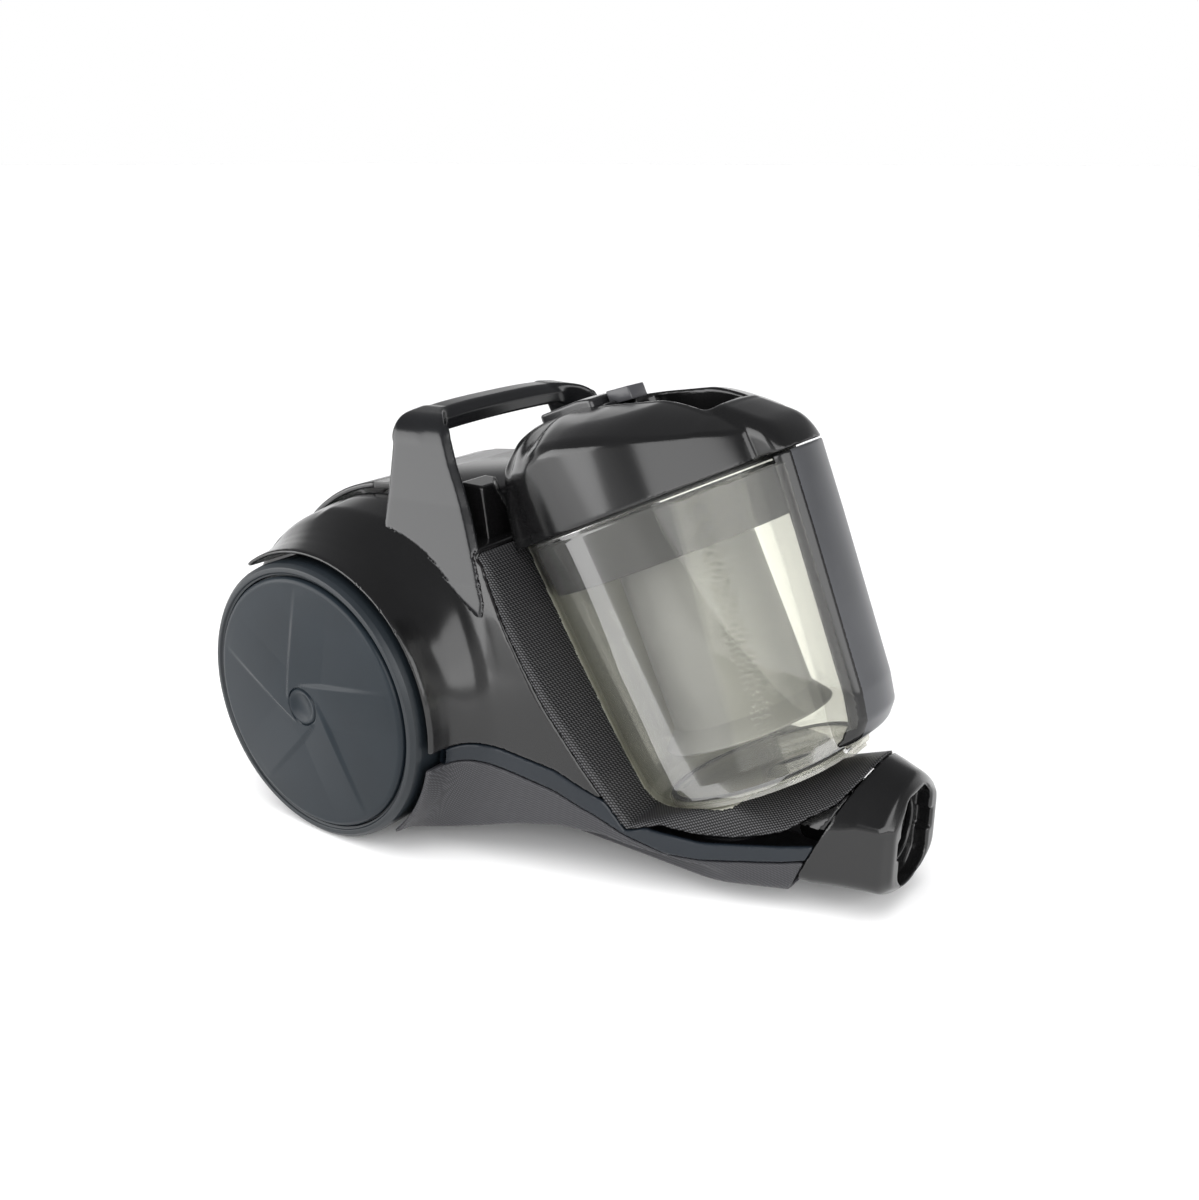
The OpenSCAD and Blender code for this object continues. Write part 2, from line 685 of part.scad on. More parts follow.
module cyclone_shroud() color("#8f8f8f") at_bin() difference() {
    union() {
        translate([0, 0, -128]) cylinder(r1 = shroud_r + 1, r2 = shroud_r, h = 98);
        translate([0, 0, -140]) cylinder(r1 = 50, r2 = shroud_r + 1, h = 12);
    }
    translate([0, 0, -126]) cylinder(r1 = shroud_r - 1.4, r2 = shroud_r - 2.4, h = 98);
    translate([0, 0, -141]) cylinder(r1 = 48, r2 = shroud_r - 1.4, h = 12.6);
    for (a = [0:24:336]) for (h = [-110, -90, -70, -50]) rotate([0, 0, a])
        translate([shroud_r - 6, -1.5, h]) cube([12, 3, 12]);
}
module vortex_tube() color("#6f7072") at_bin() difference() {
    union() {
        translate([0, 0, -118]) cylinder(r1 = 20, r2 = 28, h = 88.2);
        translate([0, 0, -29.8]) cylinder(r = shroud_r - 4.2, h = 2);
    }
    translate([0, 0, -119]) cylinder(r1 = 18, r2 = 26, h = 92);
}
module lid_hinge_pin() color("#bbbcbf") at_bin() translate([hinge_u, 0, hinge_w]) rod_y(1.5, -16.4, 16.4);
module floor_hinge_pin() color("#bbbcbf") at_bin()
    translate([floor_hinge_u, 0, floor_hinge_w]) rod_y(1.25, -14.4, 14.4);

// ---------------------------------------------------------------- bin lid
module lid_solid(t) {
    intersection() {
        union() {
            cylinder(r1 = cup_r - t, r2 = 73 - t, h = 40);
            translate([0, 0, 40]) cylinder(r1 = 73 - t, r2 = 50 - t, h = 28);
            slab([60, 100 - t], [-strip_half - 1 + t, strip_half + 1 - t], [0, 66]);
        }
        along_y(-90, 90) offset(delta = -t) polygon(lid_top_outline);
    }
}
module bin_lid() color("#2a2a2c") at_bin() {
    difference() {
        translate([0, 0, 0.4]) lid_solid(0);
        translate([0, 0, -2.6]) lid_solid(2.6);
        // Finger recess ahead of the grip
        slab([-14, 52], [-24, 24], [44, 80]);
        // Outlet of the clean air at the rear
        slab([-90, -60], [-19, 19], [16, 27]);
    }
    // Tray of the finger recess
    difference() {
        intersection() {
            translate([0, 0, 0.4]) lid_solid(0);
            slab([-17, 55], [-27, 27], [31, 70]);
        }
        slab([-14, 52], [-24, 24], [34, 80]);
    }
    // Hinge knuckle between the cup's ears
    difference() {
        union() {
            translate([hinge_u, 0, hinge_w]) rod_y(4.2, -10.6, 10.6);
            slab([hinge_u, -80.4], [-10.6, 10.6], [0.6, 4]);
        }
        translate([hinge_u, 0, hinge_w]) rod_y(1.56, -30, 30);
    }
}
module lid_gasket() color("#141414") at_bin() translate([0, 0, -1.8]) ring(78.8, 74.6, 3.6);
module lid_grip() color("#232326") at_bin() difference() {
    union() {
        along_y(-16, 16) polygon([[-50, 66.2], [-34, 69], [-14, 66.8], [14, 62.4], [14, 59.6], [-11.2, 63.6],
            [-11.2, 58], [-13.6, 58], [-13.6, 64.1], [-17, 64.4]]);
    }
    // Slot of the release button
    slab([-8.2, 8.2], [-8.2, 8.2], [40, 80]);
}
module release_button() color("#3a3b3e") at_bin() difference() {
    along_y(-8, 8) polygon([[-8, 59], [8, 57], [8, 65], [-8, 67.2]]);
    slab([-6.4, 6.4], [-6.4, 6.4], [50, 61.5]);
}
module filter_frame() color("#55565a") at_bin() difference() {
    translate([0, 0, 1.8]) cylinder(r = 75.8, h = 10);
    translate([0, 0, 4.2]) cylinder(r = 73.6, h = 20);
    for (x = [-50:20:50]) for (y = [-50:20:50]) if (x * x + y * y < 3400)
        translate([x - 8, y - 8, 0]) cube([16, 16, 8]);
}
module foam_filter() color("#c9b35a") at_bin() translate([0, 0, 4.2]) cylinder(r = 73.4, h = 9);

// ---------------------------------------------------------------- bin floor
module bin_floor() color("#c9c9bb", 0.6) at_bin() {
    difference() {
        union() {
            translate([0, 0, -cup_depth - 2.4]) cylinder(r = floor_r, h = 4);
            translate([floor_hinge_u, 0, floor_hinge_w]) rod_y(3.4, -8.6, 8.6);
            slab([52, floor_hinge_u], [-8.6, 8.6], [-cup_depth - 2.4, -cup_depth + 0.6]);
        }
        translate([floor_hinge_u, 0, floor_hinge_w]) rod_y(1.31, -30, 30);
        // Dirty-air port over the duct
        translate([port_u, 0, -cup_depth - 4]) cylinder(r = 13, h = 8);
    }
}
module floor_gasket() color("#171717") at_bin() translate([0, 0, -cup_depth + 1.6]) ring(57, 54, 1.2);

// ---------------------------------------------------------------- pedals and rear grille
module pedal(y0, y1) {
    difference() {
        intersection() {
            translate([0, 0, wheel_r]) rod_y(116.5, y0, y1);
            slab([-90, -20.8], [y0, y1], [118, 240]);
        }
        translate([0, 0, wheel_r]) rod_y(112.6, y0 - 5, y1 + 5);
    }
}
module power_pedal() color("#303033") at_axle() pedal(3.8, 57);
module rewind_pedal() color("#303033") at_axle() pedal(-57, -3.8);
module exhaust_grille() color("#2a2b2e") at_axle() {
    difference() {
        union() {
            slab([tail_x, tail_x + 3], [-51.4, 51.4], [44.4, 139.4]);
            for (y = [-36, 24]) translate([grille_hinge[0], 0, grille_hinge[1]]) rod_y(3, y, y + 12);
        }
        for (z = [56:9:128]) slab([tail_x - 1, tail_x + 5], [-44, 44], [z, z + 4.5]);
        translate([grille_hinge[0], 0, grille_hinge[1]]) rod_y(1.56, -60, 60);
    }
}
module grille_pin() color("#b9babc") at_axle()
    translate([grille_hinge[0], 0, grille_hinge[1]]) rod_y(1.5, -54, 54);

lower_chassis();
side_bands();
upper_housing();
cradle_trim();
deck_panel();
carry_handle();
inlet_snout();
snout_seal();
inlet_duct();
duct_gasket();
intake_duct();
intake_gasket();
motor_bucket();
motor_mounts();
motor_stator();
motor_bearings();
circuit_board();
mains_switch();
reel_shaft();
exhaust_filter();
cord_outlet();
wheel_axles();
caster_socket();
chassis_screws();
motor_shaft();
motor_armature();
fan_impeller();
cord_drum();
wheel_rim_right();
wheel_tyre_right();
hub_cap_right();
wheel_rim_left();
wheel_tyre_left();
hub_cap_left();
caster_fork();
caster_axle();
caster_roller();
bin_cup();
front_strip();
cyclone_skirt();
cyclone_shroud();
vortex_tube();
lid_hinge_pin();
floor_hinge_pin();
bin_lid();
lid_gasket();
lid_grip();
filter_frame();
foam_filter();
release_button();
bin_floor();
floor_gasket();
power_pedal();
rewind_pedal();
exhaust_grille();
grille_pin();
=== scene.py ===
import bmesh, bpy, json, math
import numpy as np
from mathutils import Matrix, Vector


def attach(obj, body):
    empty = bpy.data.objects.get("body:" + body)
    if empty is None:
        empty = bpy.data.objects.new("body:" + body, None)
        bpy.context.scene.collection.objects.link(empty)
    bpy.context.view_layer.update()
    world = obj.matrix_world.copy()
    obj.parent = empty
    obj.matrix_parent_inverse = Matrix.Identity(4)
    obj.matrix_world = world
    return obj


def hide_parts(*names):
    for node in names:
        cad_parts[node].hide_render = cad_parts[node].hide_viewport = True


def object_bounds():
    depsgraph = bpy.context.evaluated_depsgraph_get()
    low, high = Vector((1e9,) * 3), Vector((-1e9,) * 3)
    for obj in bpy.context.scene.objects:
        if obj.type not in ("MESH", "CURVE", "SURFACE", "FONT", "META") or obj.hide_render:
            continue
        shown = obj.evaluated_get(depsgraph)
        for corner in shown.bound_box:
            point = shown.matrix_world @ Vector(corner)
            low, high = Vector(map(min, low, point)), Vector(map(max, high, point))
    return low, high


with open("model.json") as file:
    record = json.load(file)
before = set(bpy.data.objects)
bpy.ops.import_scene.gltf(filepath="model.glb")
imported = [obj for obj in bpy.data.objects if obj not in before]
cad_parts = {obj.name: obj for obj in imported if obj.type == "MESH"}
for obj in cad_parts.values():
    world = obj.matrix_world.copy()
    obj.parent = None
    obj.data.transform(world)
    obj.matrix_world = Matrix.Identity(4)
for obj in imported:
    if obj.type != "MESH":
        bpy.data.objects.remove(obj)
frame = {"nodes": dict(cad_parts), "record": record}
cad_bounds = [[float(c) for c in p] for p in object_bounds()]
record = frame["record"]
joints = {j["name"]: j for j in record["behaviour"]["joints"]}

# Lengths below are in millimetres from the floor point under the wheel axle, +X forward, as in the CAD source
AXLE_X = joints["right_wheel_spin"]["pos_m"][0] * 1000
WHEEL_R = joints["right_wheel_spin"]["pos_m"][2] * 1000
NOSE_X = cad_bounds[1][0] * 1000 - AXLE_X
TAIL_X = cad_bounds[0][0] * 1000 - AXLE_X
# Height of the belly, half width over the fenders, and middle of the caster's well
BELLY = 12.0
FENDER = 134.0
CASTER_X = 205
# Wall of the shells, and gap on each side of a joint between two of them
WALL = 3.0
GAP = 0.3
# Bin: lean of its axis, middle of the lid seam, cup radius at the seam, and the places of its two hinges
TILT = math.radians(26)
SEAM = (157.6, 207.6)
CUP_R = 82.8
HINGE = (-87, -2.5)
FLOOR_HINGE = (63, -163)
# Half width of the front strip; place of the dirty-air port in the bin frame; height of the hose bore
STRIP_HALF = 23
PORT_U = 20
BORE_Z = 44


def row(v):
    """Millimetres from the axle to metres in the row frame."""
    v = np.asarray(v, float).copy()
    v[:, 0] += AXLE_X
    return v / 1000


# ------------------------------------------------------------------ fields
def smin(a, b, r):
    """Smooth minimum, rounded over r: joins two fields."""
    h = np.maximum(r - np.abs(a - b), 0) / r
    return np.minimum(a, b) - h * h * r / 4


def smax(a, b, r):
    """Smooth maximum, rounded over r: keeps what two fields share."""
    return -smin(-a, -b, r)


def curve(points, soft=0.0):
    """Polyline y(x) and its slope, both as functions, smoothed over soft samples either way."""
    p = np.array(points, float)
    xs = np.arange(p[0, 0] - 30, p[-1, 0] + 30, 0.5)
    lo = p[0, 1] + (xs - p[0, 0]) * (p[1, 1] - p[0, 1]) / (p[1, 0] - p[0, 0])
    hi = p[-1, 1] + (xs - p[-1, 0]) * (p[-1, 1] - p[-2, 1]) / (p[-1, 0] - p[-2, 0])
    ys = np.where(xs < p[0, 0], lo, np.where(xs > p[-1, 0], hi, np.interp(xs, p[:, 0], p[:, 1])))
    if soft:
        n = int(soft)
        k = np.hanning(2 * n + 3)[1:-1]
        k /= k.sum()
        ys = np.convolve(np.pad(ys, n, mode="reflect", reflect_type="odd"), k, mode="valid")
    slope = np.gradient(ys, xs)
    return (lambda t: np.interp(t, xs, ys)), (lambda t: np.interp(t, xs, slope))


def under(c, X, Z):
    """Signed distance to the area under a curve z(x)."""
    return (Z - c[0](X)) / np.sqrt(1 + c[1](X) ** 2)


def skin(name, field, lo, hi, step, even=False):
    """Closed mesh on the zero surface of a field, each vertex pulled onto the surface."""
    lo, hi = np.array(lo, float), np.array(hi, float)
    if even:
        lo[1], hi[1] = 0, max(abs(lo[1]), abs(hi[1]))
    ax = [np.arange(a, b + step, step) for a, b in zip(lo, hi)]
    X, Y, Z = ax[0][:, None, None], ax[1][None, :, None], ax[2][None, None, :]
    f = np.broadcast_to(field(X, Y, Z), [len(a) for a in ax]).astype(np.float32)
    if even:
        f = np.concatenate([f[:, :0:-1], f], 1)
        lo[1] = -ax[1][-1]
    inside = f < 0
    nx, ny, nz = inside.shape
    corners = [(i, j, k) for i in (0, 1) for j in (0, 1) for k in (0, 1)]
    count = np.zeros((nx - 1, ny - 1, nz - 1), np.uint8)
    for i, j, k in corners:
        count += inside[i:nx - 1 + i, j:ny - 1 + j, k:nz - 1 + k]
    cells = np.argwhere((count > 0) & (count < 8))
    index = np.full(count.shape, -1, np.int32)
    index[tuple(cells.T)] = np.arange(len(cells))
    val = np.stack([f[cells[:, 0] + i, cells[:, 1] + j, cells[:, 2] + k] for i, j, k in corners], 1)
    pos = np.array(corners, float)
    acc, n = np.zeros((len(cells), 3)), np.zeros(len(cells))
    for a in range(8):
        for b in range(a + 1, 8):
            if bin(a ^ b).count("1") == 1:
                cross = (val[:, a] < 0) != (val[:, b] < 0)
                t = val[cross, a] / (val[cross, a] - val[cross, b])
                acc[cross] += pos[a] + t[:, None] * (pos[b] - pos[a])
                n[cross] += 1
    v = lo + step * (cells + acc / n[:, None])
    for _ in range(3):
        g = np.empty_like(v)
        e = 0.15 * step
        for d in range(3):
            p, q = v.copy(), v.copy()
            p[:, d] += e
            q[:, d] -= e
            g[:, d] = (field(*p.T) - field(*q.T)) / (2 * e)
        s = g * (field(*v.T) / np.maximum((g * g).sum(1), 0.05))[:, None]
        ln = np.linalg.norm(s, axis=1)
        v -= s * np.minimum(1, 0.5 * step / np.maximum(ln, 1e-9))[:, None]
    quads = []
    for d in range(3):
        o1, o2 = (d + 1) % 3, (d + 2) % 3
        a = np.take(inside, range(inside.shape[d] - 1), d)
        b = np.take(inside, range(1, inside.shape[d]), d)
        for flip, mask in ((False, a & ~b), (True, b & ~a)):
            e = np.argwhere(mask)
            keep = (e[:, o1] > 0) & (e[:, o1] < inside.shape[o1] - 1)
            keep &= (e[:, o2] > 0) & (e[:, o2] < inside.shape[o2] - 1)
            e = e[keep]
            ring = []
            for s1, s2 in ((1, 1), (0, 1), (0, 0), (1, 0)):
                c = e.copy()
                c[:, o1] -= s1
                c[:, o2] -= s2
                ring.append(index[tuple(c.T)])
            q = np.stack(ring, 1)
            quads.append(q[:, ::-1] if flip else q)
    quads = np.concatenate(quads)
    return mesh(name, row(v), quads)


def mesh(name, v, quads):
    """Smooth-shaded mesh object from metres and quads."""
    m = bpy.data.meshes.new(name)
    m.vertices.add(len(v))
    m.vertices.foreach_set("co", np.asarray(v, np.float32).ravel())
    m.loops.add(quads.size)
    m.loops.foreach_set("vertex_index", quads.astype(np.int32).ravel())
    m.polygons.add(len(quads))
    m.polygons.foreach_set("loop_start", np.arange(0, quads.size, 4, dtype=np.int32))
    m.polygons.foreach_set("loop_total", np.full(len(quads), 4, np.int32))
    m.update(calc_edges=True)
    m.validate()
    m.polygons.foreach_set("use_smooth", np.ones(len(m.polygons), bool))
    o = bpy.data.objects.new(name, m)
    bpy.context.scene.collection.objects.link(o)
    return o


def lathe(name, profile, place, seg=160, sharp=35):
    """Closed profile (radius, height) turned about the local axis; place maps it to millimetres."""
    p = np.array(profile, float)
    a = np.linspace(0, 2 * math.pi, seg, endpoint=False)
    n = len(p)
    r, h = p[:, 0][None, :], p[:, 1][None, :]
    x, y = np.cos(a)[:, None] * r, np.sin(a)[:, None] * r
    v = np.stack(place(x.ravel(), y.ravel(), np.broadcast_to(h, x.shape).ravel()), 1)
    i, j = np.meshgrid(np.arange(seg), np.arange(n), indexing="ij")
    i2, j2 = (i + 1) % seg, (j + 1) % n
    q = np.stack([i * n + j, i2 * n + j, i2 * n + j2, i * n + j2], -1).reshape(-1, 4)
    o = mesh(name, row(v), q)
    o.data.set_sharp_from_angle(angle=math.radians(sharp))
    return o


def soften(points, r, seg=5):
    """Rounds the corners of a closed profile by r."""
    out = []
    n = len(points)
    for i in range(n):
        p0, p1, p2 = (np.array(points[(i + k) % n], float) for k in (-1, 0, 1))
        a, b = p0 - p1, p2 - p1
        la, lb = np.linalg.norm(a), np.linalg.norm(b)
        a, b = a / la, b / lb
        turn = math.acos(max(-1, min(1, float(a @ b))))
        if turn > math.radians(176):
            out.append(p1)
            continue
        t = min(r / math.tan(turn / 2), 0.45 * la, 0.45 * lb)
        s, e = p1 + a * t, p1 + b * t
        for k in range(seg + 1):
            u = k / seg
            out.append((1 - u) ** 2 * s + 2 * u * (1 - u) * p1 + u * u * e)
    return [tuple(p) for p in out]


def rounded(node, width, segments=2):
    """A CAD node with its edges rounded, standing for the node."""
    src = frame["nodes"][node]
    o = bpy.data.objects.new(node + "_soft", src.data.copy())
    bpy.context.scene.collection.objects.link(o)
    weld = o.modifiers.new("weld", "WELD")
    weld.merge_threshold = 0.00002
    bev = o.modifiers.new("bevel", "BEVEL")
    bev.width = width / 1000
    bev.segments = segments
    bev.limit_method = "ANGLE"
    bev.angle_limit = math.radians(32)
    bev.harden_normals = False
    bev.use_clamp_overlap = True
    bpy.context.view_layer.update()
    done = bpy.data.meshes.new_from_object(o.evaluated_get(bpy.context.evaluated_depsgraph_get()))
    o.modifiers.clear()
    o.data = done
    done.polygons.foreach_set("use_smooth", np.ones(len(done.polygons), bool))
    done.set_sharp_from_angle(angle=math.radians(40))
    return o


def put(o, body, material, *nodes):
    """Ride a body, take a material and stand for CAD nodes."""
    o.data.materials.clear()
    o.data.materials.append(material)
    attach(o, body)
    if nodes:
        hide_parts(*nodes)
    return o


def dress(name, field, lo, hi, step, body, slot, node, even=True):
    """Skin of a field that rides a body and stands for a CAD node."""
    return put(skin(name, field, lo, hi, step, even), body, MATS[slot], node)


def paint(o, where):
    """Gives the faces whose centres lie in a zone the object's second material."""
    mid = np.zeros(len(o.data.polygons) * 3)
    o.data.polygons.foreach_get("center", mid)
    mid = mid.reshape(-1, 3) * 1000
    chosen = where(mid[:, 0] - AXLE_X, mid[:, 1], mid[:, 2])
    o.data.polygons.foreach_set("material_index", chosen.astype(np.int32))


def to_bin(X, Z):
    """Bin frame: u across the bin, w up its axis."""
    dx, dz = X - SEAM[0], Z - SEAM[1]
    return dx * math.cos(TILT) + dz * math.sin(TILT), dz * math.cos(TILT) - dx * math.sin(TILT)


def from_bin(u, y, w):
    """Millimetres from the axle for a point of the bin frame."""
    x = SEAM[0] + u * math.cos(TILT) - w * math.sin(TILT)
    z = SEAM[1] + u * math.sin(TILT) + w * math.cos(TILT)
    return x, y, z


# ------------------------------------------------------------------ materials
def material(name, color, rough=0.4, metallic=0.0, coat=0.0, spec=0.5):
    """New principled material with its node tree and shader."""
    m = bpy.data.materials.new(name)
    m.use_nodes = True
    nt = m.node_tree
    b = nt.nodes["Principled BSDF"]
    b.inputs["Base Color"].default_value = (*color, 1)
    b.inputs["Roughness"].default_value = rough
    b.inputs["Metallic"].default_value = metallic
    b.inputs["Coat Weight"].default_value = coat
    b.inputs["Coat Roughness"].default_value = 0.05
    b.inputs["Specular IOR Level"].default_value = spec
    return m, nt, b


def node(nt, kind, **settings):
    """New shader node; settings are input values or properties."""
    n = nt.nodes.new(kind)
    for k, v in settings.items():
        if k in n.inputs:
            n.inputs[k].default_value = v
        else:
            setattr(n, k, v)
    return n


def bump(nt, b, height, strength, distance):
    """Relief of a shader from a height."""
    n = node(nt, "ShaderNodeBump", Strength=strength, Distance=distance)
    nt.links.new(height, n.inputs["Height"])
    nt.links.new(n.outputs["Normal"], b.inputs["Normal"])
    return n


def coords(nt, scale=(1, 1, 1)):
    """Object coordinates, scaled."""
    t = node(nt, "ShaderNodeTexCoord")
    m = node(nt, "ShaderNodeMapping")
    m.inputs["Scale"].default_value = scale
    nt.links.new(t.outputs["Object"], m.inputs["Vector"])
    return m.outputs["Vector"]


def ramp(nt, value, stops):
    """Colour ramp over a value."""
    r = node(nt, "ShaderNodeValToRGB")
    while len(r.color_ramp.elements) < len(stops):
        r.color_ramp.elements.new(0.5)
    for e, (p, c) in zip(r.color_ramp.elements, stops):
        e.position = p
        e.color = (*c, 1)
    nt.links.new(value, r.inputs["Fac"])
    return r.outputs["Color"]


def plastic(name, color, rough, grain=700.0, depth=0.00002, vary=0.12, coat=0.0, metallic=0.0, spec=0.5):
    """Moulded plastic: faint mottling of colour, uneven gloss and a fine grain."""
    m, nt, b = material(name, color, rough, metallic, coat, spec)
    v = coords(nt)
    big = node(nt, "ShaderNodeTexNoise", Scale=24.0, Detail=4.0)
    nt.links.new(v, big.inputs["Vector"])
    lo = tuple(c * (1 - vary) for c in color)
    hi = tuple(min(1, c * (1 + vary)) for c in color)
    nt.links.new(ramp(nt, big.outputs["Fac"], [(0.3, lo), (0.7, hi)]), b.inputs["Base Color"])
    rr = node(nt, "ShaderNodeMapRange")
    rr.inputs["To Min"].default_value = rough * 0.85
    rr.inputs["To Max"].default_value = rough * 1.2
    nt.links.new(big.outputs["Fac"], rr.inputs["Value"])
    nt.links.new(rr.outputs["Result"], b.inputs["Roughness"])
    fine = node(nt, "ShaderNodeTexNoise", Scale=grain, Detail=3.0)
    nt.links.new(v, fine.inputs["Vector"])
    bump(nt, b, fine.outputs["Fac"], 0.4, depth)
    return m


MATS = {}
MATS["shell"] = plastic("shell_gloss", (0.005, 0.005, 0.0052), 0.17, grain=260, depth=0.000006)
MATS["handle"] = plastic("handle_gloss", (0.006, 0.0063, 0.007), 0.22, grain=260, depth=0.000008)
MATS["lid"] = plastic("lid_gloss", (0.005, 0.005, 0.0052), 0.17, grain=260, depth=0.000006)
MATS["band"] = plastic("band_satin", (0.007, 0.010, 0.014), 0.3, grain=500, depth=0.00001, spec=0.35)
MATS["tyre"] = plastic("tyre_soft", (0.009, 0.012, 0.015), 0.34, grain=900, depth=0.00002, spec=0.35)
MATS["hub"] = plastic("hub_satin", (0.008, 0.012, 0.016), 0.3, grain=600, depth=0.000012, spec=0.2)
MATS["wheel"] = plastic("wheel_plastic", (0.012, 0.015, 0.018), 0.5)
MATS["strip"] = plastic("strip_metallic", (0.075, 0.077, 0.083), 0.34, grain=1500, depth=0.00001,
                        metallic=0.55, coat=0.2)
MATS["skirt"] = plastic("skirt_satin", (0.018, 0.018, 0.019), 0.4, depth=0.000004, spec=0.25)
MATS["liner"] = plastic("cradle_liner", (0.42, 0.42, 0.37), 0.4, depth=0.000008)
MATS["shroud"] = plastic("shroud_grey", (0.17, 0.17, 0.17), 0.45, depth=0.000004)
MATS["grip"] = plastic("grip_gloss", (0.012, 0.012, 0.013), 0.22, coat=0.3)
MATS["button"] = plastic("button_satin", (0.05, 0.05, 0.055), 0.35)
MATS["pedal"] = plastic("pedal_gloss", (0.02, 0.02, 0.021), 0.25, coat=0.2)
MATS["grille"] = plastic("grille_satin", (0.02, 0.021, 0.023), 0.4)
MATS["inner_plastic"] = plastic("inner_black", (0.03, 0.03, 0.032), 0.55)
MATS["rubber"] = plastic("rubber_black", (0.012, 0.012, 0.012), 0.75, grain=1200, depth=0.00005)
MATS["switch_plastic"] = plastic("switch_black", (0.02, 0.02, 0.02), 0.5)
MATS["filter_plastic"] = plastic("filter_grey", (0.12, 0.12, 0.13), 0.5)
MATS["drum"] = plastic("drum_grey", (0.3, 0.3, 0.31), 0.45)
MATS["board"] = plastic("board_green", (0.02, 0.12, 0.05), 0.35, vary=0.3)
MATS["filter_paper"] = plastic("filter_paper", (0.72, 0.72, 0.68), 0.9, grain=1500, depth=0.0001)
MATS["foam"] = plastic("foam_open", (0.55, 0.45, 0.16), 0.95, grain=900, depth=0.0006, vary=0.25)
MATS["motor_steel"] = plastic("motor_steel", (0.5, 0.49, 0.48), 0.35, metallic=1.0)
MATS["bright_steel"] = plastic("bright_steel", (0.62, 0.62, 0.63), 0.25, metallic=1.0)
MATS["copper"] = plastic("copper_windings", (0.6, 0.28, 0.12), 0.35, metallic=1.0)
MATS["fan_metal"] = plastic("fan_aluminium", (0.7, 0.7, 0.72), 0.3, metallic=1.0)


def side_coords(nt, pitch, stretch, turn):
    """Flat texture coordinates: along x, and down the side wall or across the shelf."""
    t = node(nt, "ShaderNodeTexCoord")
    sep = node(nt, "ShaderNodeSeparateXYZ")
    nt.links.new(t.outputs["Object"], sep.inputs[0])
    mag = node(nt, "ShaderNodeMath", operation="ABSOLUTE")
    nt.links.new(sep.outputs["Y"], mag.inputs[0])
    down = node(nt, "ShaderNodeMath", operation="SUBTRACT")
    nt.links.new(sep.outputs["Z"], down.inputs[0])
    nt.links.new(mag.outputs[0], down.inputs[1])
    com = node(nt, "ShaderNodeCombineXYZ")
    nt.links.new(sep.outputs["X"], com.inputs[0])
    nt.links.new(down.outputs[0], com.inputs[1])
    m = node(nt, "ShaderNodeMapping")
    m.inputs["Scale"].default_value = (stretch / pitch, 1 / pitch, 1)
    m.inputs["Rotation"].default_value = (0, 0, turn)
    nt.links.new(com.outputs[0], m.inputs["Vector"])
    return m.outputs["Vector"]


def mesh_plastic(name, base, dot, pitch, rough, stretch=1.0, turn=0.785, depth=0.0003, spec=0.4):
    """Moulded texture of staggered raised dots, each dot's top coloured lighter as a painted highlight."""
    m, nt, b = material(name, base, rough, spec=spec)
    vor = node(nt, "ShaderNodeTexVoronoi", voronoi_dimensions="2D")
    vor.inputs["Scale"].default_value = 1.0
    vor.inputs["Randomness"].default_value = 0.0
    nt.links.new(side_coords(nt, pitch, stretch, turn), vor.inputs["Vector"])
    # the dot colour is a painted highlight on the top of each raised dot, over the dark base colour
    tone = ramp(nt, vor.outputs["Distance"], [(0.0, dot), (0.2, dot), (0.42, base)])
    nt.links.new(tone, b.inputs["Base Color"])
    inv = node(nt, "ShaderNodeMath", operation="SUBTRACT")
    inv.inputs[0].default_value = 1.0
    nt.links.new(vor.outputs["Distance"], inv.inputs[1])
    bump(nt, b, inv.outputs[0], 0.6, depth)
    return m


# the second, lighter colour of each is the painted highlight on the tops of the dots
MATS["trim"] = mesh_plastic("trim_dots", (0.002, 0.002, 0.0023), (0.075, 0.075, 0.078), 0.0016, 0.42,
                            spec=0.22)
MATS["chassis"] = mesh_plastic("chassis_mesh", (0.014, 0.014, 0.016), (0.05, 0.05, 0.056), 0.0014, 0.42,
                               stretch=2.0, turn=0.0, depth=0.0002)


def clear(name, tint, haze, shine=0.3):
    """Clear moulded plastic: see-through with mirror reflections that grow at the edge, and a faint haze."""
    m, nt, b = material(name, tint, 0.05)
    tr = node(nt, "ShaderNodeBsdfTransparent", Color=(*tint, 1))
    gl = node(nt, "ShaderNodeBsdfGlossy", Roughness=0.04)
    lw = node(nt, "ShaderNodeLayerWeight", Blend=0.35)
    edge = node(nt, "ShaderNodeMapRange")
    edge.inputs["To Min"].default_value = 0.008
    edge.inputs["To Max"].default_value = shine
    nt.links.new(lw.outputs["Fresnel"], edge.inputs["Value"])
    mix = node(nt, "ShaderNodeMixShader")
    hz = node(nt, "ShaderNodeMixShader", Fac=haze)
    nt.links.new(edge.outputs[0], mix.inputs[0])
    nt.links.new(tr.outputs[0], mix.inputs[1])
    nt.links.new(gl.outputs[0], mix.inputs[2])
    nt.links.new(mix.outputs[0], hz.inputs[1])
    nt.links.new(b.outputs[0], hz.inputs[2])
    nt.links.new(hz.outputs[0], nt.nodes["Material Output"].inputs["Surface"])
    return m


MATS["clear_plastic"] = clear("cup_clear", (0.96, 0.96, 0.935), 0.015, 0.22)
MATS["floor_plastic"] = clear("floor_clear", (0.85, 0.845, 0.8), 0.2)

for sub in record["subparts"]:
    o = frame["nodes"][sub["node"]]
    o.data.materials.clear()
    o.data.materials.append(MATS[sub["material_slot"]])

# ------------------------------------------------------------------ body shapes
OUTLET = [1000 * c for c in next(m for m in record["mounts"] if m["name"] == "cord_outlet")["pos_m"]]
# Radius of the barrel about the axle at each distance from the middle plane
BARREL = curve([(0, 112), (40, 111.4), (70, 109.4), (90, 106.4), (97, 103.6), (103, 100.4), (110, 97.2),
                (118, 94.6), (126, 93), (134, 92)], 8)
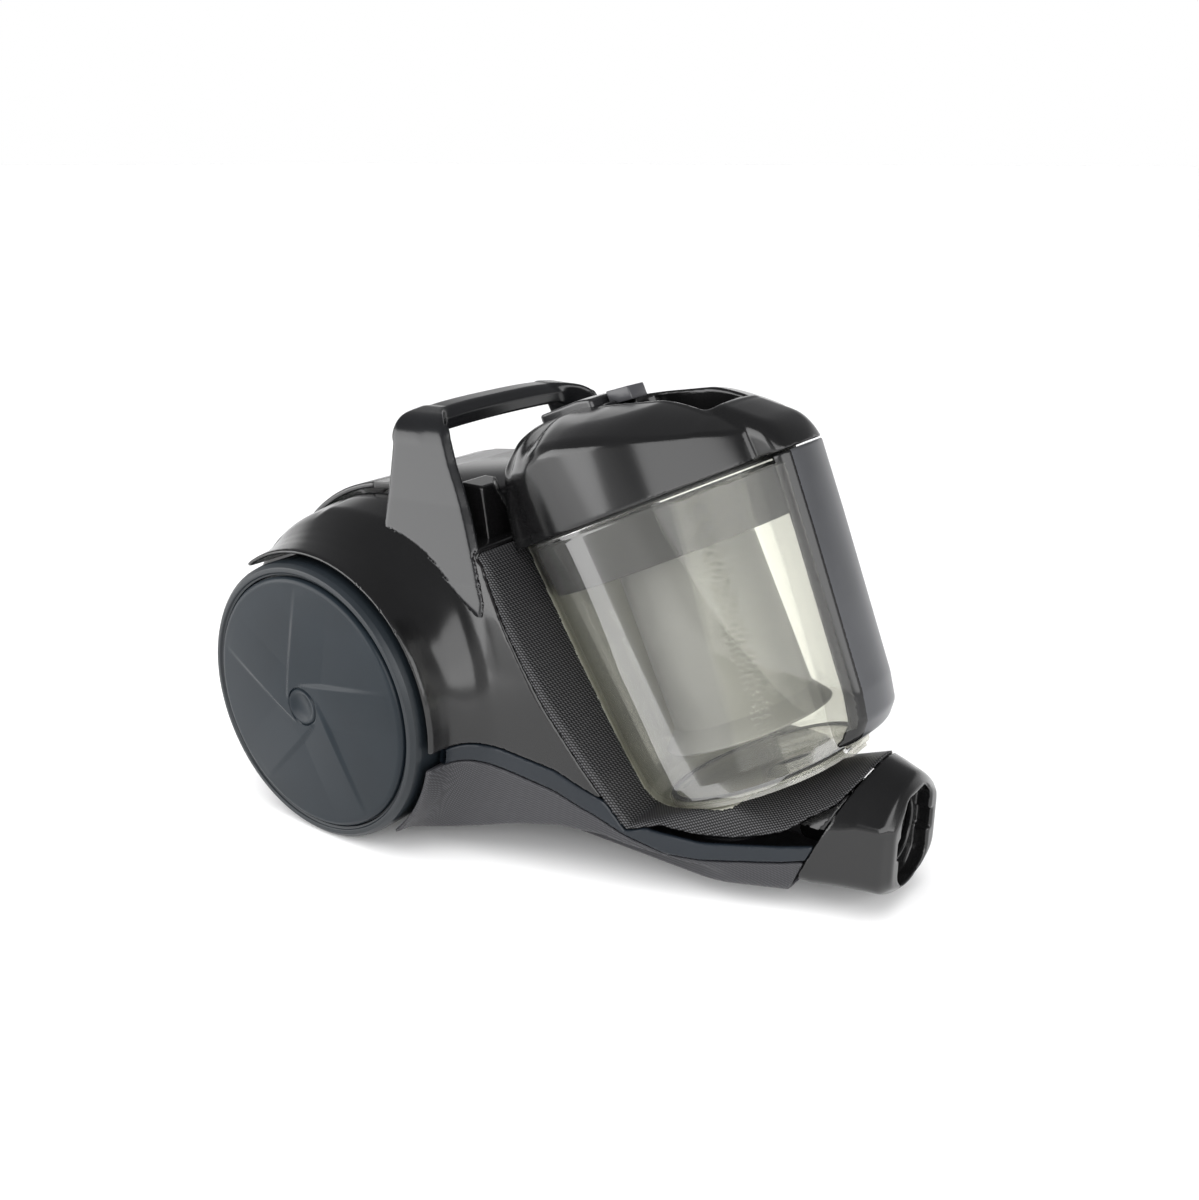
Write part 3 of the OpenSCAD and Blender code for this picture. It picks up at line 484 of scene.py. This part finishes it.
# Half width of the front body along its length, and by height
WIDTH = curve([(20, 126), (31, 124), (50, 118), (70, 112), (92, 106.5), (110, 103), (136, 98), (165, 92),
               (187, 85), (211, 76), (239, 64), (268, 51), (291, 41.5), (305, 36.5)], 14)
HEIGHT = curve([(0, 126), (60, 124), (90, 108), (120, 99), (150, 94), (184, 86)], 14)
# Top line: cradle rim, elbow, shelf and nose
TOP = curve([(60, 184), (88, 184), (95, 180), (190.7, 43.3), (262, 69), (302, 85), (320, 92)], 5)
# Lower edge of the side walls, then the two edges of the dark side band
ARCH = curve([(33, 2), (69, 11), (96, 20), (122, 28), (150, 34), (175, 34), (195, 29), (222, 24), (250, 21),
              (290, 20)], 12)
BAND_TOP = curve([(58, 66.5), (63, 69), (76, 74), (96, 77), (117, 75), (149, 69), (179, 55), (200, 42.5),
                  (229, 38), (268, 41), (300, 46)], 10)
BAND_LOW = curve([(58, 63.5), (63, 64.5), (76, 67), (96, 66), (122, 62), (149, 56), (172, 46), (190, 36),
                  (211, 28), (229, 27), (268, 31), (300, 38)], 10)
# Border between the glossy housing and the dotted trim
BORDER = curve([(88, 190), (136, 121.5), (165, 79.5), (185, 58), (203, 46.5), (225, 43), (245, 43.5),
                (268, 49), (291, 66), (305, 88), (312, 105)], 8)


def tip(X, Z):
    """Distance from the axle line."""
    return np.sqrt(X ** 2 + (Z - WHEEL_R) ** 2)


def wheel_room(X, Y, Z):
    """Space round the wheels, open at the front and below between the fender's two ends."""
    rho = tip(X, Z)
    up = math.radians(127)
    down = math.radians(-70)
    rise = Z - WHEEL_R
    wedge = smax(X * math.sin(up) - rise * math.cos(up), -X * math.sin(down) + rise * math.cos(down), 6)
    return smax(smin(rho - 89.5, wedge, 6), 97 - np.abs(Y), 3)


def body(X, Y, Z):
    """Outer form of barrel, fenders and front body."""
    A = np.abs(Y)
    barrel = smax(tip(X, Z) - BARREL[0](A), A - FENDER, 2.5)
    lean = 0.38 * np.clip((X - 185) / 20, 0, 1) * np.maximum(Z - BORDER[0](X), 0)
    side = smax(A - WIDTH[0](X) + lean, A - HEIGHT[0](Z), 10)
    crown = 0.012 * Y * Y * np.clip((X - 240) / 40, 0, 1)
    front = smax(side, under(TOP, X, Z + crown), 5)
    front = smax(front, -X - 20, 4)
    solid = smin(barrel, front, 14)
    solid = smax(solid, -X + TAIL_X + 3.4, 8)
    low = BELLY - Z
    solid = smax(solid, low, 10)
    solid = smax(solid, smin(ARCH[0](X) - Z, A - 62, 6), 4)
    return smax(solid, -wheel_room(X, Y, Z), 2.5)


def snout_plane(X, Z, gap=0.0):
    """Positive ahead of the slanted seam of the hose inlet."""
    return ((X - 271.4 - gap) * 85 - (Z - 12) * 35.6) / math.hypot(85, 35.6)


# Radius of the cup along its axis
CUP = curve([(-170, 58), (-166, 61), (-160, 66.5), (-152, 70), (-130, 73), (-60, 78.4), (0, CUP_R),
             (60, CUP_R + 3)], 6)


def bin_room(X, Y, Z, gap):
    """Space of the bin, widened by a gap."""
    u, w = to_bin(X, Z)
    return smax(np.sqrt(u * u + Y * Y) - CUP[0](w) - gap, -169 - gap - w, 2)


def duct_room(X, Y, Z):
    """Space of the dirty-air duct from the hose bore up to the bin's port."""
    u, w = to_bin(X, Z)
    tube = np.maximum(np.sqrt(Y * Y + (Z - BORE_Z) ** 2) - 20.8, 241 - X)
    riser = np.maximum(np.sqrt((u - PORT_U) ** 2 + Y * Y) - 17.8, np.maximum(w + 165, -192 - w))
    return np.minimum(tube, riser)


def shell(B):
    """Skin of a solid, one wall thick."""
    return np.maximum(B, -(B + WALL))


def above(edge, X, Z, g):
    """Negative above an edge of the side band; behind the band both edges run level."""
    c = np.where(X < 58, 56 + 0 * X, edge[0](X))
    s = np.where(X < 58, 0, edge[1](X))
    return (c + g - Z) / np.sqrt(1 + s * s)


def grille_room(A, X, Z):
    """Frame of the exhaust grille in the tail."""
    return np.maximum(np.maximum(A - 52.4, X - TAIL_X - 8), np.maximum(40 - Z, Z - 140.6))


def intake_slot(A, X, Z, front=1e3):
    """Slot in the cradle's rim for the clean-air duct."""
    return np.maximum(np.maximum(A - 22, 71 - X), np.maximum(158 - Z, X - front))


def trim_side(X, Z, g=0.0):
    """Negative on the trim's side: above the border line, and just under the cradle's rim face."""
    s = BORDER[1](X)
    line = (BORDER[0](X) - Z) / np.sqrt(1 + s * s)
    return np.maximum(np.minimum(line, -under(TOP, X, Z) - 3.4), 90 - X) + g


def f_housing(X, Y, Z):
    """Glossy shell over the barrel and along the sides."""
    B = body(X, Y, Z)
    A = np.abs(Y)
    d = shell(B)
    d = smax(d, above(BAND_TOP, X, Z, GAP), 1)
    d = smax(d, -trim_side(X, Z, -GAP), 1)
    d = smax(d, -bin_room(X, Y, Z, 4), 1)
    # Opening that the deck panel and the pedals fill
    d = smax(d, -np.maximum(np.maximum(A - 58, -92 - X), np.maximum(X - 67, 120 - Z)), 1.5)
    d = smax(d, -grille_room(A, X, Z), 1)
    d = smax(d, -intake_slot(A, X, Z, 96), 1)
    hole = np.sqrt((Y - OUTLET[1]) ** 2 + (Z - OUTLET[2]) ** 2) - 9.2
    d = smax(d, -np.maximum(hole, X - TAIL_X - 12), 1)
    return smax(d, snout_plane(X, Z), 1)


def f_band(X, Y, Z):
    """Dark band between shell and chassis."""
    B = body(X, Y, Z)
    d = smax(shell(B), above(BAND_LOW, X, Z, GAP), 1)
    d = smax(d, -above(BAND_TOP, X, Z, -GAP), 1)
    d = smax(d, -trim_side(X, Z, -GAP), 1)
    d = np.maximum(d, 30 - np.abs(Y))
    d = np.maximum(d, 59 - X)
    return smax(d, snout_plane(X, Z), 1)


def f_chassis(X, Y, Z):
    """Grey underbody with the caster's well and the posts of the wheel axles."""
    B = body(X, Y, Z)
    A = np.abs(Y)
    d = smax(shell(B), -above(BAND_LOW, X, Z, -GAP), 1)
    d = smax(d, snout_plane(X, Z), 1)
    well = np.sqrt((X - CASTER_X) ** 2 + Y * Y)
    ring = np.maximum(np.maximum(well - 28, 25 - well), np.maximum(BELLY - Z, Z - 28))
    d = smin(smax(d, 26.5 - well, 1), ring, 1)
    post = np.maximum(np.maximum(np.abs(X) - 26, np.abs(A - 84.9) - 6.9), np.maximum(14 - Z, Z - 106))
    post = np.maximum(post, 6 - tip(X, Z))
    d = np.minimum(d, post)
    return smax(d, -grille_room(A, X, Z), 1)


def f_trim(X, Y, Z):
    """Dotted cradle that the bin stands in."""
    B = body(X, Y, Z)
    room = bin_room(X, Y, Z, 0)
    d = smax(trim_side(X, Z), B, 1)
    d = np.minimum(d, np.maximum(np.maximum(room - 3.6, Z - 188), B + 0.4))
    d = np.maximum(d, -np.maximum(B + 3, 3.6 - room))
    d = smax(d, 0.9 - room, 2)
    d = smax(d, snout_plane(X, Z), 1)
    d = np.maximum(d, -duct_room(X, Y, Z))
    well = np.sqrt((X - CASTER_X) ** 2 + Y * Y)
    d = np.maximum(d, -np.maximum(well - 28.5, Z - 29))
    d = np.maximum(d, -intake_slot(np.abs(Y), X, Z))
    # The band and the chassis show below, on the outer skin only
    return np.maximum(d, np.minimum(np.minimum(above(BAND_TOP, X, Z, 0), B + 3.2), trim_side(X, Z, GAP)))


dress("housing_skin", f_housing, (-104, -136, 54), (312, 136, 202), 1.5,
      "base", "shell", "upper_housing", even=False)
dress("band_skin", f_band, (54, -122, 24), (306, 122, 80), 1.3, "base", "band", "side_bands")
dress("chassis_skin", f_chassis, (-104, -136, 1), (300, 136, 110), 1.6, "base", "chassis", "lower_chassis")
trim = dress("trim_skin", f_trim, (74, -112, 20), (312, 112, 190), 1.4, "base", "trim", "cradle_trim")
# The faces that stand against the bin are smooth and pale
trim.data.materials.append(MATS["liner"])
paint(trim, lambda X, Y, Z: bin_room(X, Y, Z, 1.6) < 0)


# ------------------------------------------------------------------ carry handle
def f_handle(X, Y, Z):
    """Carry handle: two leaning legs and a bowed bar."""
    A = np.abs(Y)
    rear = np.interp(Z, [150, 189, 242, 262], [25.4, 24, 21.6, 20.8]) - X
    edge = np.interp(Z, [156, 177.5, 196.7, 214.7, 227.5, 240.5, 256],
                     [101.4, 91.6, 82.2, 72.7, 65.3, 59.2, 53.6])
    fore = (X - edge) * 0.9
    flare = 2.4 * np.clip((205 - Z) / 40, 0, 1)
    outer = np.maximum((A - 147 - flare + 0.14 * X + 0.264 * Z) / 1.043, A - 96)
    wall = np.interp(Z, [190, 224, 238, 250], [6, 15, 19, 24])
    wall = 5 + (wall - 5) * np.clip((edge - 4 - X) / 16, 0, 1)
    leg = smax(smax(smax(rear, fore, 1), outer, 3.2), -outer - wall, 2)
    leg = smax(leg, (fore + outer + 3.4) * 0.7071, 0.6)
    top = 254.3 - 3.2 * (A / 67) ** 3
    low = 241 - 1.4 * (A / 60) ** 2
    bar = smax(smax(Z - top, low - Z, 4), np.abs(X - 30.8) - 9.6, 2.5)
    bar = smax(bar, (X - 40.4 + Z - top + 5.6) * 0.7071, 0.8)
    bar = smax(bar, outer, 6)
    d = smin(leg, bar, 5)
    d = smax(d, smax(Z - top, outer, 12), 2.5)
    return np.maximum(d, -(body(X, Y, Z) + GAP))


dress("handle_skin", f_handle, (16, -100, 148), (104, 100, 258), 1.1, "base", "handle", "carry_handle")


# ------------------------------------------------------------------ hose inlet
def f_snout(X, Y, Z):
    """Faceted hose inlet with its bore and keyed mouth."""
    A = np.abs(Y)
    t = np.clip((X - 283) / 39, -0.2, 1)
    half = 45 - 11 * t
    crease = 50 + 11 * np.clip(t / 0.55, 0, 1)
    lean = 0.2 + 0.9 * np.clip(t, 0, 1)
    side = smax(A - half, (A - half + lean * (Z - crease)) / np.sqrt(1 + lean * lean), 1.5)
    top = 82 - 0.28 * (X - 303) - 0.012 * Y * Y
    bow = 0.0054 + 0.005 * np.clip(t, 0, 1)
    low = 10.6 + bow * Y * Y
    around = smax(smax(side, (Z - top) * 0.96, 9), (low - Z) / np.sqrt(1 + (2 * bow * Y) ** 2), 5)
    d = smax(around, X - NOSE_X, 2)
    d = smax(d, (around + X - NOSE_X + 5) * 0.7071, 1.5)
    d = smax(d, -snout_plane(X, Z, 0.35), 1)
    rad = np.sqrt(Y * Y + (Z - 44) ** 2)
    d = np.minimum(d, np.maximum(rad - 20.4, np.maximum(264 - X, X - 300)))
    d = np.maximum(d, 17.5 - rad)
    hole = smax(smax(A - 20, np.abs(Z - 43) - 27, 10), (A + np.abs(Z - 43) - 38) * 0.7071, 3)
    keys = smax(A - 23, np.abs(Z - 44) - 6, 2)
    d = smax(d, -np.maximum(smin(hole, keys, 2), NOSE_X - 9 - X), 1.5)
    return np.maximum(d, -np.maximum(rad - 20.1, np.maximum(306 - X, X - 310)))


dress("snout_skin", f_snout, (260, -52, 8), (NOSE_X + 2, 52, 100), 1.0, "base", "shell", "inlet_snout")


# ------------------------------------------------------------------ dust bin lid
# Heights along the lid above its seam: the deck's middle line, and the fold on the drum
LID_TOP = curve([(-100, 62), (-52.4, 65.5), (-20, 64), (8, 57.5), (40, 48.5), (70, 33), (90, 17.5), (99, 6.5),
                 (103, -9)], 10)
FOLD = curve([(-120, 37), (-31, 36.5), (-12, 39.5), (2, 38.5), (25, 34), (48, 28), (66, 23), (81, 15.5),
              (100, 6)], 8)


def lid_outer(X, Y, Z):
    """Outer form of the lid: drum, chamfer band, shoulder, deck and nose."""
    u, w = to_bin(X, Z)
    A = np.abs(Y)
    r = np.sqrt(u * u + Y * Y)
    plan = smin(r - CUP_R, smax(smax(A - 64, -u - 69, 9), u + 8, 6), 3)
    drum = plan + 0.055 * np.maximum(w, 0)
    depth = np.maximum(-plan, -4)
    # Steep light chamfer along the fold, then a flatter shoulder up to the deck
    fold, step = FOLD[0](u), 4.9 * np.clip((62 - u) / 50, 0, 1)
    chamfered = (w - fold - 1.38 * depth) / 1.7
    pitch = 0.577 + 0.4 * np.clip((-25 - u) / 25, 0, 1)
    shoulder = (w - fold - step - pitch * depth) / np.sqrt(1 + pitch * pitch)
    corner = 0.843 * A - 0.488 * u + 0.229 * w - 86.6
    deck = (w - LID_TOP[0](u) + 4.5 * (A / 50) ** 2) / np.sqrt(1 + LID_TOP[1](u) ** 2)
    d = smax(drum, smax(chamfered, shoulder, 1.2), 1.2)
    d = smax(d, corner, 1.6)
    d = smax(d, deck, 5)
    d = smax(d, (-u - 62 + 0.5 * (w - 44)) / 1.12, 6)
    nose = smax(A - 24, u - 100 + 0.01 * Y * Y + 0.02 * w, 6)
    nose = smax(smax(nose, deck, 9), 50 - u, 3)
    return smin(d, nose, 2)


def from_hinge(u, w):
    """Distance from the lid's hinge pin."""
    return np.sqrt((u - HINGE[0]) ** 2 + (w - HINGE[1]) ** 2)


def f_lid(X, Y, Z):
    """Hollow lid with the finger recess and its hinge knuckle."""
    u, w = to_bin(X, Z)
    A = np.abs(Y)
    B = lid_outer(X, Y, Z)
    d = np.maximum(B, -(B + 2.6))
    d = smax(d, 0.4 - w, 1.2)
    cut = smax(smax(np.abs(u - 32) - 34, A - 24, 8), 44 - w, 3)
    tray = smax(smax(smax(np.abs(u - 32) - 37, A - 27, 8), 31 - w, 2), B, 1)
    room = smax(smax(np.abs(u - 32) - 34, A - 24, 8), 34 - w, 3)
    d = smax(smin(smax(d, -cut, 1.5), tray, 1.5), -room, 1.5)
    slot = np.maximum(np.maximum(A - 19, u + 60), np.abs(w - 21.5) - 5.5)
    d = smax(d, -slot, 1)
    # Well of the release button
    d = smax(d, -smax(smax(np.abs(u) - 8.6, A - 8.6, 1), 48 - w, 0.5), 0.5)
    knuckle = np.maximum(from_hinge(u, w) - 4.2, A - 10.6)
    arm = np.maximum(np.maximum(HINGE[0] - u, u + 78), np.maximum(0.6 - w, np.maximum(w - 4, A - 10.6)))
    d = smin(d, np.minimum(knuckle, arm), 0.8)
    return np.maximum(d, 1.56 - from_hinge(u, w))


dress("lid_skin", f_lid, (66, -86, 160), (256, 86, 280), 1.2, "lid", "lid", "bin_lid")


def f_grip(X, Y, Z):
    """Raised grip over the rear of the finger recess."""
    u, w = to_bin(X, Z)
    A = np.abs(Y)
    deck = w - LID_TOP[0](u) + 4.5 * (A / 50) ** 2
    d = smax(smax(A - 21, np.abs(u + 30) - 20, 3), np.maximum(deck - 4.6, -2 - deck), 1.4)
    return smax(d, Z - 271.2, 1)


dress("grip_skin", f_grip, (84, -26, 236), (192, 26, 276), 0.9, "lid", "grip", "lid_grip")

# ------------------------------------------------------------------ front strip
STRIP = curve([(-160, 74), (-156, 81), (-148, 87.5), (-132, 90.6), (-40, 97.5), (0, 99.9), (20, 100.4)], 5)


def f_strip(X, Y, Z):
    """Upright strip on the front of the bin."""
    u, w = to_bin(X, Z)
    A = np.abs(Y)
    out = (u - STRIP[0](w) + 0.01 * Y * Y) / np.sqrt(1 + STRIP[1](w) ** 2)
    d = smax(out, A - STRIP_HALF, 5)
    d = smax(d, -159.5 - w, 4)
    d = smax(d, w + 0.5, 1)
    r = np.sqrt(u * u + Y * Y)
    d = smax(d, CUP[0](w) + 0.35 - r, 0.8)
    d = smax(d, -np.maximum(np.maximum(out + 3, A - 20), w + 4), 1)
    return smax(d, -out - 7, 1)


def f_fairing(X, Y, Z):
    """Clear walls that run from the round cup forward to the strip's edges."""
    u, w = to_bin(X, Z)
    A = np.abs(Y)
    R = CUP[0](w)
    reach = STRIP[0](w) - 5.5
    turn = np.arctan2(21.5, reach) + np.arccos(np.clip(R / np.hypot(reach, 21.5), -1, 1))
    face = u * np.cos(turn) + A * np.sin(turn) - R
    d = smax(np.abs(face + 1.1) - 1.1, R - 1.4 - np.sqrt(u * u + Y * Y), 0.6)
    d = np.maximum(d, 21.2 - A)
    return smax(smax(d, w + 4.4, 1), -150 - w, 1)


strip = dress("strip_skin", f_strip, (224, -30, 84), (308, 30, 256), 1.0, "bin", "strip", "front_strip")
# Its flanks are black
strip.data.materials.append(MATS["shell"])
paint(strip, lambda X, Y, Z: np.abs(Y) > 17.6)

# ------------------------------------------------------------------ turned parts
# Profiles (radius, height in the bin frame) of the cup's outer and inner face, the dark ring and the shroud
OUT = [(CUP_R + 0.2, -0.4), (CUP_R + 0.2, -3.4), (CUP_R - 0.6, -4.6), (78.4, -60), (73, -130), (70.3, -152),
       (67.5, -160), (63.5, -164.6), (58.9, -166)]
INN = [(58.9, -163), (62.4, -161.6), (65.4, -157.6), (68, -151), (70.8, -130), (76.2, -60), (80.4, -4),
       (80.4, -0.4)]
SKIRT = [(79.6, -3), (79.6, -6), (77.4, -32), (75.6, -32), (75.6, -29.6), (38, -29.6), (38, -27.2),
         (75.6, -27.2), (77.6, -3)]
SHROUD = [(42, -128), (41, -30), (38.6, -30), (39.6, -126.6), (48, -139.4), (50, -140), (50.4, -138.6)]
put(lathe("skirt_ring", soften(SKIRT, 0.8), from_bin, 200), "bin", MATS["skirt"], "cyclone_skirt")

put(lathe("shroud_tube", soften(SHROUD, 1.5), from_bin, 160), "bin", MATS["shroud"], "cyclone_shroud")


def f_ears(X, Y, Z):
    """Hinge ears of the cup for the lid and for the floor."""
    u, w = to_bin(X, Z)
    A = np.abs(Y)
    r = np.sqrt(u * u + Y * Y)
    knuckle = from_hinge(u, w)
    lid_lug = np.minimum(knuckle - 4.2, np.maximum(np.maximum(HINGE[0] - u, u + 80.6), np.abs(w + 2.6) - 4))
    lid_ear = smax(lid_lug, np.abs(A - 13.5) - 2.5, 0.8)
    pivot = np.sqrt((u - FLOOR_HINGE[0]) ** 2 + (w - FLOOR_HINGE[1]) ** 2)
    floor_lug = np.minimum(pivot - 3.6, np.maximum(np.abs(u - 66) - 4, np.abs(w + 158.5) - 4.5))
    floor_ear = smax(floor_lug, np.abs(A - 11.5) - 2.5, 0.6)
    floor_ear = np.maximum(floor_ear, CUP[0](w) - 0.6 - r)
    bore = np.maximum(1.5 - knuckle, -60 - u + 0 * w) * (u < 0) - 9 * (u >= 0)
    return np.maximum(np.minimum(lid_ear, floor_ear), bore)


def join(a, b):
    """Adds one mesh to another."""
    bm = bmesh.new()
    bm.from_mesh(a.data)
    bm.from_mesh(b.data)
    bm.to_mesh(a.data)
    bm.free()
    bpy.data.objects.remove(b)
    return a


def blades(x, y):
    """Height of the raised pinwheel blades on a hub cap."""
    h = 0 * x
    for k in range(5):
        a = math.radians(72 * k + 14)
        p, q = x * math.cos(a) + y * math.sin(a), y * math.cos(a) - x * math.sin(a)
        q = q - 13 + 0.1 * p
        run = np.clip((p + 6) / 10, 0, 1) * np.clip((78 - p) / 60, 0, 1)
        rise = np.clip((q + 26) / 26, 0, 1) * np.clip((2.6 - q) / 2.6, 0, 1)
        h = np.maximum(h, 1.7 * run * rise)
    return h * np.clip((74.5 - np.hypot(x, y)) / 5, 0, 1)


cup = lathe("cup_wall", soften(OUT + INN, 1.6), from_bin, 220)
join(cup, skin("cup_fairing", f_fairing, (180, -66, 84), (312, 66, 250), 1.1, True))
join(cup, skin("cup_ears", f_ears, (60, -18, 84), (230, 18, 178), 0.7, True))
put(cup, "bin", MATS["clear_plastic"], "bin_cup")

# Profiles (radius, distance from the middle plane) of the hub cap, domed with a boss, and of the tyre
DOME = [(r, 143.1 - 2.4 * (r / 77) ** 2) for r in np.linspace(12, 75, 64)]
BOSS = [(0.02, 139), (0.02, 143.4), (7.6, 143.4), (9, 144.8), (10.4, 144.8), (11.4, 143.6)]
CAP = DOME + [(76.4, 140.3), (77.5, 139.2), (77.5, 137)] + BOSS
TYRE = soften([(78.4, 104), (84, 104), (86, 107), (86, 133.5), (85.3, 137.4), (83, 139.6), (80.4, 139.9),
               (79.6, 138.6), (78.4, 138.4)], 1.2)
for side, out in (("right", -1), ("left", 1)):
    def on_wheel(x, y, z, out=out):
        """Turned point on the wheel's axle."""
        return x, out * z, y + WHEEL_R

    def on_cap(x, y, z):
        """Turned point of the cap, raised where a blade lies on the dome."""
        return on_wheel(x, y, z + blades(x, y) * (z > 140) * (np.hypot(x, y) > 11.8))

    cap = lathe("hub_cap_" + side + "_skin", CAP, on_cap, 400, 50)
    put(cap, side + "_wheel", MATS["hub"], "hub_cap_" + side)
    tyre = lathe("tyre_" + side + "_skin", TYRE, on_wheel, 220)
    put(tyre, side + "_wheel", MATS["tyre"], "wheel_tyre_" + side)


# ------------------------------------------------------------------ deck and small parts

def f_tower(X, Y, Z):
    """The two corner towers behind the bin."""
    A = np.abs(Y)
    plan = smax(np.abs(A - 54) - 12, np.abs(X - 67.5) - 9 - 0.13 * (214 - Z), 1.5)
    d = smax(plan, np.abs(Z - 196) - 18, 1.5)
    return smax(d, -bin_room(X, Y, Z, 4.4), 1)


tower = skin("towers", f_tower, (50, -70, 176), (86, 70, 216), 1.0, True)
put(join(rounded("deck_panel", 2.2), tower), "base", MATS["shell"], "deck_panel")
# CAD node, edge radius, body, material
SMALL = [("power_pedal", 1.2, "power", "pedal"), ("rewind_pedal", 1.2, "rewind", "pedal"),
         ("exhaust_grille", 0.6, "grille", "grille"), ("release_button", 0.8, "button", "button"),
         ("cord_outlet", 0.6, "base", "rubber")]
for name, width, body_name, slot in SMALL:
    put(rounded(name, width), body_name, MATS[slot], name)

# ------------------------------------------------------------------ stage, light, camera
FLOOR = 60
floor_mesh = bpy.data.meshes.new("floor")
floor_mesh.from_pydata([(-FLOOR, -FLOOR, 0), (FLOOR, -FLOOR, 0), (FLOOR, FLOOR, 0), (-FLOOR, FLOOR, 0)], [],
                       [(0, 1, 2, 3)])
floor_mesh.materials.append(material("floor_white", (0.9, 0.9, 0.9), 0.8)[0])
floor = bpy.data.objects.new("floor", floor_mesh)
bpy.context.scene.collection.objects.link(floor)

world = bpy.data.worlds.new("studio")
bpy.context.scene.world = world
world.use_nodes = True
# White near the horizon, dim overhead
SKY = [(0.0, (1, 1, 1)), (0.13, (1, 1, 1)), (0.32, (0.24, 0.24, 0.245)), (1.0, (0.2, 0.2, 0.205))]
wt = world.node_tree
sky = node(wt, "ShaderNodeSeparateXYZ")
wt.links.new(node(wt, "ShaderNodeTexCoord").outputs["Generated"], sky.inputs[0])
wt.links.new(ramp(wt, sky.outputs["Z"], SKY), wt.nodes["Background"].inputs["Color"])
wt.nodes["Background"].inputs["Strength"].default_value = 1.0


def light(name, azimuth, rise, distance, size, radiance, aim=(0.03, 0, 0.12)):
    """Rectangular softbox seen from the object at an azimuth and a rise in degrees."""
    d = bpy.data.lights.new(name, "AREA")
    d.shape = "RECTANGLE"
    d.size, d.size_y = size
    d.energy = radiance * math.pi * size[0] * size[1]
    o = bpy.data.objects.new(name, d)
    a, e = math.radians(azimuth), math.radians(rise)
    way = Vector((math.cos(a) * math.cos(e), math.sin(a) * math.cos(e), math.sin(e)))
    o.location = Vector(aim) + way * distance
    o.rotation_euler = way.to_track_quat("Z", "Y").to_euler()
    bpy.context.scene.collection.objects.link(o)


light("front_box", -30, 22, 1.7, (2.5, 1.1), 3.4)
light("left_box", -127, 14, 1.6, (1.7, 0.95), 4.1)
# Lights the floor evenly and leaves no mirror image on the gloss
sun = bpy.data.lights.new("overhead", "SUN")
sun.energy = 3.0
sun.angle = math.radians(70)
overhead = bpy.data.objects.new("overhead", sun)
overhead.visible_glossy = False
overhead.rotation_euler = (math.radians(12), 0, 0)
bpy.context.scene.collection.objects.link(overhead)

cam = bpy.data.cameras.new("camera")
cam.lens = 37.2
cam.sensor_width = 36
camera = bpy.data.objects.new("camera", cam)
az, el = math.radians(36.119), math.radians(19.684)
back = Vector((math.sin(az) * math.cos(el), -math.cos(az) * math.cos(el), math.sin(el)))
camera.location = (0.4233, -0.5786, 0.3905)
camera.rotation_euler = back.to_track_quat("Z", "Y").to_euler()
bpy.context.scene.collection.objects.link(camera)
bpy.context.scene.camera = camera
bpy.context.scene.view_settings.view_transform = "Standard"
